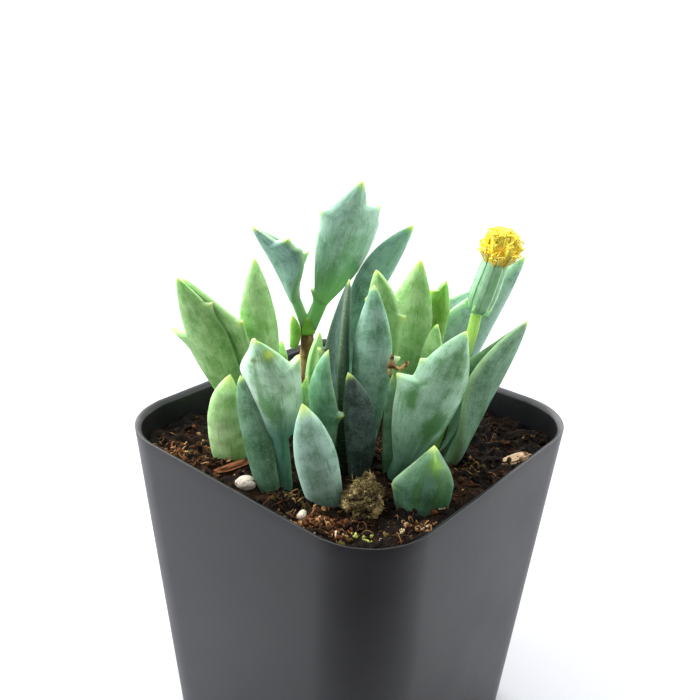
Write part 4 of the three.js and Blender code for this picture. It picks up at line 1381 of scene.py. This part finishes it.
# %% Shoots on the left
shoots = {}
shoots["left_shoot"] = {"slot": "young_leaf", "crown": (-15.5, 3.4, 2.3), "leaves": [
    leaf(SPEARHEAD, (-16.2, 3, 54), (-22.6, 1, 71.5), (-28.4, 0, 85.6), -20, (6, 3.4), FRESH,
         widest=0.62, point=1.5, cup=40, teeth=[tooth(LEFT, 0.62, 3.4, 1.8, 0.2), tooth(RIGHT, 0.78, 1)]),
    leaf(SPEARHEAD, (-15.6, 3.8, 54), (-21.5, 2.8, 71.5), (-28, 1.3, 85), 165, (6.4, 3), FRESH,
         cup=30, widest=0.68, point=0.8, teeth=[tooth(LEFT, 0.66, 0.7)]),
    leaf(POD, (-14.2, 3, 54), (-15.8, 3, 72), (-16.6, 3, 88.3), 10, (3.2, 3.2), LIGHT,
         stalk=1.4, widest=0.6, point=1.7, thick=2.6),
    leaf(POD, (-14.8, 4.6, 54), (-13.4, 7.4, 63), (-13, 10, 71.6), 20, (1.9, 1.9), FRESH,
         stalk=1.2, thick=2),
]}
shoots["tall_crown"] = {"slot": "young_leaf", "crown": (-8.4, 8, 1.5), "ends": (73.9, 77),
                        "crown_look": LIME, "leaves": [
    # The necks of these two leaves are rubbed a fresher green, partly painted glow of light through them.
    leaf(SPEARHEAD, (-8.6, 8, 75), (-12.6, 7.5, 84.2), (-17.5, 7, 92.4), -90, (6.2, 6.2), SLATE,
         stalk=1, neck=0.25, widest=0.66, flare=1.3, crease=45, cup=40, point=1, foot=0,
         rubs=[rub(0.1, 0, 0.25, 2, 0.5, NECK_GREEN_AND_GLOW)],
         teeth=[tooth(LEFT, 0.54, 0.7, 0.2, 0.35), tooth(RIGHT, 0.77, 1, 0.3, 0.3)]),
    leaf(SPEARHEAD, (-8, 8, 75), (-4, 8, 86.6), (0, 8, 100.2), 18, (4.6, 8.2), SKY,
         stalk=1.2, neck=0.2, widest=0.76, flare=1.3, point=1, crease=12, cup=45, foot=0,
         teeth=[tooth(LEFT, 0.75, 0.9, 0.3), tooth(RIGHT, 0.84, 1.8, 0.9, 0.4), tooth(LEFT, 0.26, 0.9)],
         rubs=[rub(0.1, 0, 0.4, 2, 0.8, NECK_GREEN_AND_GLOW)]),
    leaf(POD, (-10.7, 7.1, 71.4), (-10.3, 7, 74.4), (-10.9, 6.6, 77.6), -20, (0.9, 0.9), LIME,
         stalk=0.6, thick=1.4),
]}
shoots["young_leaf_left"] = {"slot": "young_leaf", "crown": (-19.2, -6, 1.6), "leaves": [
    leaf(POD, (-19.2, -6, 54), (-20.1, -6.5, 64.2), (-19.4, -6, 72), 0, (3, 3), LIGHT,
         stalk=2.1, widest=0.45, thick=3.2, lime=3),
]}
shoots["front_left_shoot"] = {"slot": "glaucous_leaf", "crown": (-10.5, -16, 1.9), "leaves": [
    leaf(SPEARHEAD, (-9.6, -15.8, 54), (-11, -16.2, 70.5), (-13.8, -17.8, 82.8), -12, (7.2, 4.7), PALE,
         widest=0.73, neck=0.38, flare=0.55, point=1.08, crease=8, lime=1.2,
         foot=1, foot_from=0.38, foot_reach=0.6,
         teeth=[tooth(RIGHT, 0.735, 0.8, 1.7, 0.12), tooth(LEFT, 0.975, 0.1, 0.6)],
         # The chalk-white rub on the left margin is thicker bloom and partly painted light from the left
         # lamp.
         rubs=[rub(0.54, -0.1, 0.08, 0.2, 0.7, GRASS), rub(0.64, -0.24, 0.12, 0.08, 0.7, GRASS),
               rub(0.76, -0.3, 0.1, 0.08, 0.4, GRASS), rub(0.89, 0.42, 0.035, 0.35, 0.8, SPOT),
               rub(0.62, -0.8, 0.25, 0.3, -0.4, CHALK_AND_LIT_EDGE), rub(0.75, 0.7, 0.3, 0.3, 0.15),
               rub(0.86, -0.3, 0.014, 0.14, 0.7, BROWN)]),
    leaf(SPEARHEAD, (-11, -16.2, 54), (-14.4, -15.6, 66), (-16.6, -14, 75.6), -25, (2.5, 2.7), DEEP,
         stalk=1.3, neck=0, widest=0.6, flare=0.9, point=1.6, foot=0.6, foot_reach=0.95),
]}
print("left side:", sum(len(shoot["leaves"]) for shoot in shoots.values()), "leaves")

# %% Shoots in the middle
shoots["back_shoot"] = {"slot": "glaucous_leaf", "crown": (0, 7.5, 2.2), "leaves": [
    leaf(SPEARHEAD, (-0.4, 7.8, 54), (-0.8, 9.2, 74), (8.7, 11, 92.6), 20, (3, 3.3), SLATE,
         stalk=1.1, neck=0.4, widest=0.76, flare=0.9, point=2),
    leaf(SPEARHEAD, (1, 8, 54), (4.4, 13.6, 64), (6.5, 17.5, 75), 150, (3.6, 3.6), BLUE,
         teeth=[tooth(LEFT, 0.66, 0.8), tooth(RIGHT, 0.64, 0.7)]),
    leaf(POD, (-0.8, 8.2, 54), (-3.2, 14, 61), (-4.4, 17, 69), 190, (2.3, 2.3), FRESH,
         stalk=1.3, thick=2.2),
]}
shoots["young_leaf_front"] = {"slot": "glaucous_leaf", "crown": (-2.7, -18.4, 1.5), "leaves": [
    leaf(POD, (-2.7, -18.6, 54), (-4.9, -19.8, 65), (-7.2, -19, 74), 10, (3, 3), SKY,
         stalk=1.7, widest=0.5, thick=3, lime=3, foot=0.6,
         rubs=[rub(0.72, 0.05, 0.2, 0.5, 0.1, FADED), rub(0.48, -0.25, 0.22, 0.3, 0.15, FADED),
               rub(0.5, 0.45, 0.25, 0.15, -0.4), rub(0.4, -0.8, 0.3, 0.2, -0.4)]),
    leaf(POD, (-3.6, -17.8, 54), (-6, -17.2, 59), (-6.8, -17.2, 64), -10, (1.1, 1.1), DEEP,
         stalk=1, thick=1.4),
]}
shoots["centre_shoot"] = {"slot": "dark_leaf", "crown": (0, -9.4, 3.2), "leaves": [
    leaf(SPEARHEAD, (0.8, -10.8, 54), (1.1, -12.8, 66), (-1, -14, 76.8), 5, (2.3, 2.8), DARK,
         stalk=1.4, widest=0.6, point=1.7, thick=1.6, foot=0.5, foot_reach=0.6),
    leaf(SPEARHEAD, (1.4, -9, 54), (2.3, -10, 74), (2.3, -9, 88.6), -8, (3.3, 3.2), BLUE,
         stalk=1.4, widest=0.64, point=1.4, foot=0.8, foot_reach=0.6, teeth=[tooth(RIGHT, 0.58, 1.8, 0.6)]),
    # This leaf's darker look and the dark green down both flanks are painted shade, deep in the clump.
    leaf(SPEARHEAD, (-1, -8.4, 54), (-2, -8, 73), (-1.4, -6, 88.4), 115, (3.4, 3.6), PAINTED_SHADE_LOOK,
         stalk=1.4, widest=0.6, point=1.3, foot=0.8, foot_reach=0.8, teeth=[tooth(RIGHT, 0.6, 1.6)],
         rubs=[rub(0.5, 1, 2, 0.4, 0.4, FLANK_PAINTED_SHADE), rub(0.5, -1, 2, 0.4, 0.4, FLANK_PAINTED_SHADE)]),
    leaf(SPEARHEAD, (-1.8, -7.6, 54), (-5.6, -5, 68), (-5.7, -3, 78.6), 165, (1.8, 1.8), FRESH,
         stalk=1.1, widest=0.6, point=1.6, thick=1.3),
    leaf(SPEARHEAD, (1, -7.6, 54), (3.4, -4.6, 74), (2.6, -3, 89), -150, (3.4, 3.6), FRESH,
         stalk=1.3, widest=0.68, point=2, teeth=[tooth(LEFT, 0.72, 1, 0.6), tooth(RIGHT, 0.84, 1, 0.6)]),
    leaf(SPEARHEAD, (-2.4, -10, 54), (-5.4, -11.6, 67.5), (-3.9, -12, 79.4), -45, (3.4, 3.6), TEAL,
         stalk=1.5, widest=0.58, point=1.2, foot=0.7, foot_reach=0.95, teeth=[tooth(RIGHT, 0.56, 1.2)]),
    leaf(POD, (-2.8, -10.6, 54), (-7, -12.8, 66), (-6.9, -13.6, 75.8), 0, (1.1, 1.1), FRESH,
         stalk=0.9, thick=1.2),
]}
print("with the middle:", sum(len(shoot["leaves"]) for shoot in shoots.values()), "leaves")

# %% Shoots on the right
shoots["right_shoot"] = {"slot": "glaucous_leaf", "crown": (7.6, -9.6, 2.6), "leaves": [
    leaf(SPEARHEAD, (6.4, -10.4, 54), (11, -13, 71), (16, -10.6, 82.6), 11.6, (5.8, 6.4), SOFT,
         stalk=1.8, neck=0.2, widest=0.63, flare=1, point=1.5, cup=55, foot=1, foot_reach=0.55,
         teeth=[tooth(LEFT, 0.6, 0.9, 0, 0.3), tooth(LEFT, 0.72, 0.7, 0.3)],
         rubs=[rub(0.4, 0.3, 0.08, 0.3, 0.8, GRASS), rub(0.56, -0.5, 0.1, 0.14, 0.6, GRASS),
               rub(0.76, 0.2, 0.14, 0.3, 0.5, GRASS), rub(0.5, 0.9, 0.3, 0.15, 0.6, GRASS),
               rub(0.6, 0.1, 0.06, 0.5, -0.3)]),
    leaf(SPEARHEAD, (8.6, -8.4, 54), (10.6, -5, 71), (12.5, -4, 81), -60, (2.6, 2.6), FRESH,
         widest=0.66, point=1.5, thick=1.4),
    leaf(POD, (6.2, -9.8, 54), (5.6, -11.4, 66), (5.6, -11.4, 75.6), 0, (0.9, 0.9), DEEP,
         stalk=0.9, thick=1.2),
]}
shoots["back_right_shoot"] = {"slot": "young_leaf", "crown": (9.6, 1, 2.4), "leaves": [
    leaf(SPEARHEAD, (8.8, 0.4, 54), (8.5, 0, 74), (9.5, 0, 90), 0, (4.1, 3.5), LIGHT,
         stalk=1.3, widest=0.68, point=1.4, thick=2, cup=45, lime=3, foot=0.95, foot_reach=0.85,
         teeth=[tooth(LEFT, 0.74, 0.4, 0.2)]),
    leaf(SPEARHEAD, (10.2, 1.4, 54), (12.2, 2.4, 73), (13.9, 2.2, 86.1), 170, (1.7, 2.8), LIME,
         stalk=1.1, widest=0.8, point=1, thick=1.5, teeth=[tooth(RIGHT, 0.89, 0.9, 0.6)]),
    leaf(SPEARHEAD, (10.6, 2, 54), (15.8, 5.5, 70), (22.5, 7, 84.2), 90, (6.6, 6.6), SKY,
         stalk=1.2, neck=0.1, widest=0.74, point=1.3, crease=38, cup=35,
         teeth=[tooth(RIGHT, 0.78, 0.6, 0.4)]),
    leaf(SPEARHEAD, (11.4, 1.6, 54), (19.2, 5.6, 72.5), (26.8, 7, 89.2), 30, (4.2, 2.4), SKY,
         stalk=1.2, neck=0.2, widest=0.66, point=1.9, thick=1.6, foot=0.2,
         rubs=[rub(0.5, 0, 0.25, 2, -0.35)]),
]}
shoots["leaning_shoot"] = {"slot": "glaucous_leaf", "crown": (15.2, -1, 2.8), "leaves": [
    leaf(SPEARHEAD, (14.8, -2.2, 54), (21.7, -2.4, 68), (27.4, 2, 80), 90, (7, 6.7), DEEP,
         stalk=1.5, neck=0, widest=0.58, flare=0.9, point=1.5, crease=30, cup=40,
         foot=0.35, foot_reach=0.85),
]}
shoots["young_leaf_right"] = {"slot": "young_leaf", "crown": (10.4, -19.6, 2.2), "leaves": [
    leaf(POD, (10.4, -19.8, 53), (11.4, -20.4, 61.4), (11.8, -19, 68.2), 15, (5.4, 3.8), SHADY,
         stalk=1.8, widest=0.56, flare=1.2, point=1.07, thick=3.8, cup=43, lime=1.6,
         foot=0.05, foot_reach=0.5, teeth=[tooth(LEFT, 0.52, 0.12, 0.1)],
         rubs=[rub(0.86, 0, 0.2, 0.4, 0.4, BRIGHT), rub(0.62, 0.5, 0.3, 0.05, 1.2, GRASS),
               rub(0.42, 0.15, 0.14, 0.03, 1.2, GRASS), rub(0.5, -0.35, 0.25, 0.05, 0.6, GRASS)]),
]}
print("the whole plant:", sum(len(shoot["leaves"]) for shoot in shoots.values()), "leaves")

# %% Making the shoots
CROWN_FOOT = 50
CROWN_TOP = 55.5
CROWN_TAPER = 0.8
CROWN_STEPS = 12
CROWN_SIDES = 24


def add_crown(heap, shoot, number):
    """The short stem that the leaves spring from, sunk in the soil unless the shoot gives its ends."""
    across, away, radius = shoot["crown"]
    foot, top = shoot.get("ends", (CROWN_FOOT, CROWN_TOP))
    path = np.array([(across, away, height) for height in np.linspace(foot, top, CROWN_STEPS)])
    radii = radius * mix(1, CROWN_TAPER, np.linspace(0, 1, CROWN_STEPS))
    radii[0] *= 0.9
    radii[-1] *= 0.7
    points, faces = bar(path, radii, CROWN_SIDES)
    points[:, :2] += 0.12 * soft_noise(points, 0.8, number)[:, None]
    flesh_colour, powder_colour, _ = shoot.get("crown_look", shoot["leaves"][0]["look"])
    heap.add(from_plant(points), faces, flesh=flesh_colour, powder=powder_colour, marks=(0.0, 0.0, 0.3),
             place=points)


leaf_number = 0
for shoot_name, shoot in shoots.items():
    shoot_heap = Heap()
    add_crown(shoot_heap, shoot, leaf_number)
    for one_leaf in shoot["leaves"]:
        leaf_points, leaf_faces, marks = leaf_shape(one_leaf, leaf_number)
        shoot_heap.add(from_plant(leaf_points), leaf_faces, **marks)
        leaf_number += 1
    shoot_piece = shoot_heap.object(shoot_name + "_leaves")
    settle(shoot_piece, leaf_finishes[shoot["slot"]], shoot["slot"], shoot_name)

# %% [markdown]
# ## The stems
# The tall crown stands on an older stem that has gone brown and corky, with the scars of fallen
# leaves round it. The flower's stalk is green, smooth and faintly ribbed, and slightly thinner
# under the head. Both are round bars along a gently bent path.

# %% The woody stem
WOOD_PLACES = [(-8.4, 8, 50), (-8.6, 8, 62), (-8.4, 8, 73.6)]
WOOD_RADIUS = 1.1
WOOD_STEPS = 130
WOOD_SIDES = 36
WOOD_DARK = colour(134, 102, 68)
WOOD_LIGHT = colour(208, 172, 124)
SCAR_HEIGHTS = (58.6, 62.4, 66.0, 69.8, 72.4)


def woody_stem():
    """A corky stem with a ring-shaped scar under each fallen leaf."""
    path = smooth_path(WOOD_PLACES, WOOD_STEPS)
    rings = bar_rings(path, np.full(WOOD_STEPS, WOOD_RADIUS), WOOD_SIDES)
    around = np.arange(WOOD_SIDES) * (2 * math.pi / WOOD_SIDES)
    swell = 0.05 * soft_noise(rings * (1, 1, 0.25), 0.35, 21) + 0.03 * soft_noise(rings, 0.9, 22)
    for index, height in enumerate(SCAR_HEIGHTS):
        facing = np.cos(around - 2.4 * index)[None, :]
        swell = swell + 0.16 * np.clip(facing, 0, 1) * np.exp(-((rings[..., 2] - height) / 0.35) ** 2)
    centre = path[:, None]
    rings = centre + (rings - centre) * (1 + swell)[..., None]
    points, faces = loft(rings, path[0], path[-1])
    shade = ease(soft_noise(points * (1, 1, 0.3), 0.5, 23), -0.7, 0.8)[:, None]
    return one_shape("corky_stem", from_plant(points), faces, tint=mix(WOOD_DARK, WOOD_LIGHT, shade))


settle(woody_stem(), earth_finish("woody_stem", 0.35, 0.4, 0.85), "woody_stem", "woody_stem")

# %% The flower's stalk
STALK_PLACES = [(10.9, -4.2, 50), (15.3, -2.8, 66), (18, -1, 77), (18.85, 0.05, 81.3)]
STALK_RADII = (1, 1, 0.95, 0.9, 0.9, 0.9)
STALK_RIBS = 7
STALK_STEPS = 120
STALK_SIDES = 42
STALK_FOOT_GREEN = colour(146, 206, 104)
STALK_TOP_GREEN = colour(194, 242, 116)
STALK_LINE_GREEN = colour(144, 208, 92)
STALK_BLOOM = colour(206, 234, 168)


def stalk_finish():
    """Fresh green stalk, yellower toward the head, with lines along it and a thin cloudy bloom."""
    made = Finish("flower_stalk")
    place = made.millimetres()
    long_noise = made.noise(made.millimetres((1, 1, 0.12)), 0.35, 3, 0.6)
    clouds = made.noise(place, 2.2, 3, 0.55)
    height = made.node("ShaderNodeSeparateXYZ", {"Vector": place}).outputs["Z"]
    base = made.blend(made.ranged(height, 58, 80), STALK_FOOT_GREEN, STALK_TOP_GREEN)
    base = made.blend(made.ranged(long_noise, 0.4, 0.65, 0, 0.35), base, STALK_LINE_GREEN)
    base = made.blend(made.ranged(clouds, 0.45, 0.7, 0, 0.3), base, STALK_BLOOM)
    made.bump(long_noise, 0.2, 0.1)
    return made.done(base, made.ranged(clouds, 0.3, 0.7, 0.4, 0.52), Subsurface_Weight=0.2,
                     Subsurface_Radius=(0.6, 1.0, 0.3), Subsurface_Scale=0.001)


def flower_stalk():
    """The bent green stalk, faintly ribbed and a little thinner toward the head."""
    path = smooth_path(STALK_PLACES, STALK_STEPS)
    shares = np.linspace(0, 1, STALK_STEPS)
    radii = np.interp(shares, np.linspace(0, 1, len(STALK_RADII)), STALK_RADII)
    rings = bar_rings(path, radii, STALK_SIDES)
    around = np.arange(STALK_SIDES) * (2 * math.pi / STALK_SIDES)
    ribbed = 1 + 0.035 * np.cos(STALK_RIBS * around)[None, :, None]
    rings = path[:, None] + (rings - path[:, None]) * ribbed
    points, faces = loft(rings, path[0], path[-1])
    return one_shape("green_stalk", from_plant(points), faces)


settle(flower_stalk(), stalk_finish(), "flower_stalk", "flower_stalk")

# %% [markdown]
# ## The flower head
# A senecio's flower head has no petals here: it is a green cup of long narrow bracts, held edge
# over edge, with a brush of small yellow tubular florets in it. At its foot sit a few tiny
# bracts. The cup is one closed body, and every long bract is a thin strip that hugs it, with a
# raised middle and pale papery edges, and a rounded tip just past the rim.

# %% The head's own place
HEAD_FOOT = (18.9, 0, 81.8)
HEAD_TILT = math.radians(14)
HEAD_PROFILE = [(0, 1.1), (0.2, 1.6), (0.9, 1.95), (3, 2.2), (5.5, 2.15), (7.6, 2.05), (8.2, 2)]
BRACTS = 9
BRACT_TIP = 1.2
DISC_HEIGHT = 8
CUP_SIDES = 54
CUP_SHARE = 0.965


def from_head(points):
    """Tilts points from the head's own upright place onto its stalk."""
    x, y, z = np.moveaxis(np.asarray(points, float), -1, 0)
    tilted_x = x * math.cos(HEAD_TILT) + z * math.sin(HEAD_TILT)
    tilted_z = z * math.cos(HEAD_TILT) - x * math.sin(HEAD_TILT)
    return from_plant(np.stack([tilted_x, y, tilted_z], axis=-1) + HEAD_FOOT)


def head_radius(height):
    """The cup's radius at a height above its foot."""
    heights, radii = np.array(HEAD_PROFILE).T
    return np.interp(height, heights, radii)


def level_ring(radius, angles, height):
    """Points at the given angles round the head's middle, all at one height."""
    return np.stack([radius * np.cos(angles), radius * np.sin(angles), np.full(len(angles), height)], axis=-1)


print("the head leans", round(math.degrees(HEAD_TILT)), "degrees to the right")

# %% The cup of bracts
def add_cup(heap):
    """The closed body inside the bracts."""
    around = np.arange(CUP_SIDES) * (2 * math.pi / CUP_SIDES)
    rings = []
    for height in np.linspace(0, DISC_HEIGHT - 0.1, 30):
        rings.append(level_ring(head_radius(height) * CUP_SHARE, around, height))
    points, faces = loft(rings, (0, 0, 0), (0, 0, DISC_HEIGHT - 0.3))
    heap.add(from_head(points), faces, marks=(0.0, 0.0, 0.0), place=points)


def add_long_bract(heap, index):
    """One long bract that hugs the cup, with its right edge over its neighbour."""
    middle = 2 * math.pi * index / BRACTS
    across = np.array([-1, -0.8, -0.55, -0.28, 0, 0.28, 0.55, 0.8, 1])
    rows = []
    marks = []
    for share in np.linspace(0, 0.995, 40):
        height = mix(0.35, DISC_HEIGHT + BRACT_TIP, share)
        radius = head_radius(min(height, HEAD_PROFILE[-1][0]))
        taper = math.sqrt(max(1 - (max(share - 0.8, 0) / 0.2) ** 2, 0)) if share < 0.995 else 0.05
        half_angle = 1.12 * math.pi / BRACTS * taper * mix(0.9, 1, share)
        angle = middle + across * half_angle
        keel = 0.05 * np.exp(-(across / 0.5) ** 2)
        lap = 0.03 * across + 0.02
        outer = radius + keel + lap
        inner = outer - np.interp(np.abs(across), [0, 0.8, 1], [0.22, 0.1, 0.03])
        front = level_ring(outer, angle, height)
        back = level_ring(inner[::-1][1:-1], angle[::-1][1:-1], height)
        rows.append(np.vstack([front, back]))
        reach = np.concatenate([np.abs(across), np.abs(across[::-1][1:-1])])
        tip_mark = ease(share, 0.86, 0.99) * np.ones(len(reach))
        marks.append(np.stack([tip_mark, ease(reach, 0.78, 0.95), 0.4 - reach * 0], axis=-1))
    points, faces = loft(rows, rows[0].mean(axis=0), rows[-1].mean(axis=0) + (0, 0, 0.08))
    marks = np.vstack([np.vstack(marks), marks[0][:1], marks[-1][-1:]])
    heap.add(from_head(points), faces, marks=marks, place=points + (5 * index, 0, 0))


def add_foot_bract(heap, angle):
    """One of the tiny bracts that spread under the cup."""
    profile = [(0.8, 0.3), (1.9, 0.5), (2.35, 1.5)]
    places = [(radius * math.cos(angle), radius * math.sin(angle), height) for radius, height in profile]
    path = smooth_path(places, 14)
    points, faces = bar(path, [0.42, 0.45, 0.4, 0.25, 0.05], 12)
    tip_mark = ease(points[:, 2], 0.8, 1.3)
    marks = np.stack([tip_mark * 0.5, tip_mark, np.full(len(points), 0.3)], axis=-1)
    heap.add(from_head(points), faces, marks=marks, place=points)


BRACT_GREEN = colour(140, 222, 142)
BRACT_BLOOM = colour(174, 242, 182)
BRACT_LINE = colour(112, 182, 102)
BRACT_EDGE = colour(206, 244, 170)
BRACT_TIP_LIME = colour(196, 212, 112)


def bract_finish():
    """Bloomy green bracts with pale papery edges and yellow-green tips."""
    made = Finish("flower_bracts")
    place = made.mark("place", "Vector")
    marks = made.parts("marks")
    lines = made.noise(made.stretched(place, (1, 1, 0.12)), 0.22, 3, 0.6)
    clouds = made.noise(place, 1.6, 3, 0.55)
    base = made.blend(made.ranged(clouds, 0.35, 0.65), BRACT_GREEN, BRACT_BLOOM)
    base = made.blend(made.ranged(lines, 0.45, 0.7, 0, 0.3), base, BRACT_LINE)
    base = made.blend(made.times(marks["Y"], 0.6), base, BRACT_EDGE)
    base = made.blend(made.times(marks["X"], 0.7), base, BRACT_TIP_LIME)
    made.bump(lines, 0.25, 0.1)
    return made.done(base, made.ranged(clouds, 0.3, 0.7, 0.45, 0.6), Subsurface_Weight=0.4,
                     Subsurface_Radius=(0.6, 1.0, 0.4), Subsurface_Scale=0.002)


head_heap = Heap()
add_cup(head_heap)
for bract_index in range(BRACTS):
    add_long_bract(head_heap, bract_index)
for foot_angle in (0.3, 1.6, 2.8, 4.2, 5.3):
    add_foot_bract(head_heap, foot_angle)
head = head_heap.object("bract_cup")
settle(head, bract_finish(), "flower_bracts", "flower_bracts")

# %% [markdown]
# Each floret is a slender yellow tube that opens into five small lobes, and from the open ones
# two curled style arms stand out. They are set in the spiral that every daisy-like head grows
# in: each one turned by the golden angle from the last, so that they fill the disc evenly. A
# lumpy core stands in their midst, so that no dark gap shows between the tubes.

# %% Florets
FLORETS = 88
FLORET_SIDES = 20
GOLDEN_ANGLE = math.pi * (3 - math.sqrt(5))
FLORET_FOOT = 7.9
DISC_RADIUS = 1.7
SPRAY_RADIUS = 3.25
SPRAY_TOP = 13.5
CORE_HALF = (2.3, 2.3, 2.5)
CORE_HEIGHT = 10.1
FLORET_YELLOW = colour(255, 242, 84)
FLORET_CREAM = colour(255, 238, 164)
FLORET_ORANGE = colour(255, 206, 44)


def add_floret(heap, foot, mouth, radius, tint, arms):
    """One floret: a tube with a five-lobed mouth, a throat tinted orange that is partly painted shade, and
    its style arms.
    """
    foot = np.array(foot)
    mouth = np.array(mouth)
    path = np.array([mix(foot, mouth, share) for share in np.linspace(0, 1, 8)])
    widths = radius * np.array([0.5, 0.5, 0.55, 0.7, 0.95, 1.1, 1.3, 1.75])
    rings = list(bar_rings(path, widths, FLORET_SIDES))
    lobe = 0.5 + 0.5 * np.cos(5 * np.arange(FLORET_SIDES) * (2 * math.pi / FLORET_SIDES))
    along = (mouth - foot) / np.linalg.norm(mouth - foot)
    centre = rings[-1].mean(axis=0)
    rim = centre + (rings[-1] - centre) * (0.62 + 0.62 * lobe)[:, None]
    rim = rim + along * (radius * 0.8 * lobe)[:, None]
    lip = centre + (rim - centre) * 0.93 - along * 0.03
    throat = centre + (rings[-1] - centre) * 0.42 - along * radius * 0.9
    rings[-1] = rings[-1] * 0.5 + rings[-2] * 0.5 + along * 0.05
    rings += [rim, lip, throat]
    points, faces = loft(rings, foot, throat.mean(axis=0) - along * 0.02)
    # Orange at the tube's foot and deep in its throat: partly the floret's own deeper colour and partly
    # painted shade down the tube.
    depth = np.repeat([0.25, 0, 0, 0, 0, 0, 0, 0, 0, 0.1, 0.6], FLORET_SIDES)
    shade = np.append(depth, [0.25, 1.0])[:, None]
    heap.add(from_head(points), faces, tint=mix(tint, FLORET_ORANGE, shade))
    if arms:
        side = np.cross(along, draw.normal(0, 1, 3))
        side /= np.linalg.norm(side)
        for turn in (-1, 1):
            curl = []
            for share in np.linspace(0, 1, 7):
                bend = share * 2.6
                reach = radius * 1.3 * (1 - math.cos(bend))
                rise = radius * 1.9 * math.sin(bend) + radius * 0.3
                curl.append(centre + along * rise + side * turn * reach)
            arm_points, arm_faces = bar(np.array(curl), [0.1, 0.12, 0.12, 0.15], 7)
            arm_tint = mix(FLORET_YELLOW, FLORET_ORANGE, draw.uniform(0, 0.5))
            heap.add(from_head(arm_points), arm_faces, tint=arm_tint)


def floret_finish():
    """Soft velvety yellow, a little deeper in places."""
    made = Finish("florets")
    place = made.millimetres()
    clouds = made.noise(place, 0.5, 3, 0.6)
    base = made.blend(made.ranged(clouds, 0.5, 0.75, 0, 0.2), made.mark("tint"), FLORET_ORANGE)
    made.bump(made.noise(place, 0.12, 2, 0.5), 0.2, 0.05)
    return made.done(base, made.ranged(clouds, 0.3, 0.7, 0.5, 0.65), Subsurface_Weight=0.2,
                     Subsurface_Radius=(1.0, 0.9, 0.4), Subsurface_Scale=0.0006)


floret_heap = Heap()
core_points, core_faces = ball(4)
core_swell = 1 + 0.12 * soft_noise(core_points, 0.3, 29)
core_shape = core_points * core_swell[:, None] * CORE_HALF + (0, 0, CORE_HEIGHT)
floret_heap.add(from_head(core_shape), [core_faces], tint=FLORET_ORANGE)
for floret_index in range(FLORETS):
    share = math.sqrt((floret_index + 0.5) / FLORETS)
    turn = floret_index * GOLDEN_ANGLE
    direction_out = np.array([math.cos(turn), math.sin(turn), 0])
    rise = (SPRAY_TOP - FLORET_FOOT) * (1 - share ** 3 * 0.3) * draw.uniform(0.84, 1.0)
    if share > 0.7 and floret_index % 3:
        rise *= draw.uniform(0.3, 0.8)
    floret_foot = direction_out * DISC_RADIUS * share + (0, 0, FLORET_FOOT)
    spread = SPRAY_RADIUS * share * draw.uniform(0.86, 1.0)
    floret_mouth = direction_out * spread + (0, 0, FLORET_FOOT + rise)
    floret_mouth[:2] += draw.normal(0, 0.12, 2)
    creaminess = 0.7 if rise < 2.6 else draw.uniform(0, 0.15)
    tint = mix(FLORET_YELLOW, FLORET_CREAM, creaminess)
    add_floret(floret_heap, floret_foot, floret_mouth, draw.uniform(0.2, 0.29), tint, draw.random() < 0.85)
florets = floret_heap.object("floret_brush")
settle(florets, floret_finish(), "florets", "florets")

# %% [markdown]
# ## The withered tip
# One old leaf tip has dried to a brown hook in the middle of the clump. Dry tissue shrinks
# unevenly, so its two strips are pinched and twisted by noise, and they get a dull finish of the
# kind that the bark has.

# %% A dry brown hook
WITHERED_PLACES = [(5.5, -10.9, 78.2), (5.5, -10.9, 77.2), (6.05, -10.8, 76.4), (6.9, -10.7, 76.35),
                   (7.55, -10.7, 76.9), (7.6, -10.7, 77.5)]
WITHERED_RADII = (0.22, 0.3, 0.33, 0.33, 0.32, 0.33, 0.33, 0.24)
SHRED_PLACES = [(5.5, -10.9, 78.7), (5.3, -10.9, 77.4), (5.15, -11, 76), (5.3, -11, 74.9)]
SHRED_RADII = (0.15, 0.34, 0.4, 0.34, 0.12)
STRIP_STEPS = 70
STRIP_SIDES = 20
DRY_DARK = colour(104, 76, 44)
DRY_LIGHT = colour(214, 180, 122)


def add_dry_strip(heap, places, radii):
    """A pinched and twisted strip of dry leaf."""
    path = smooth_path(places, STRIP_STEPS)
    points, faces = bar(path, radii, STRIP_SIDES)
    centre = np.vstack([np.repeat(path, STRIP_SIDES, axis=0), path[:1], path[-1:]])
    pinch = 1 + 0.4 * soft_noise(points, 0.5, 24) + 0.25 * soft_noise(points, 0.2, 25)
    points = centre + (points - centre) * pinch[:, None]
    shade = ease(soft_noise(points, 0.5, 26), -0.6, 0.5)[:, None]
    tint = mix(DRY_DARK, DRY_LIGHT, shade)
    heap.add(from_plant(points), faces, tint=tint)


def withered_tip():
    """The curled dry leaf tip, with the shred of leaf that it hangs from."""
    heap = Heap()
    add_dry_strip(heap, WITHERED_PLACES, WITHERED_RADII)
    add_dry_strip(heap, SHRED_PLACES, SHRED_RADII)
    return heap.object("withered_hook")


settle(withered_tip(), earth_finish("withered_leaf", 0.3, 0.3, 0.75), "withered_leaf", "withered_tip")
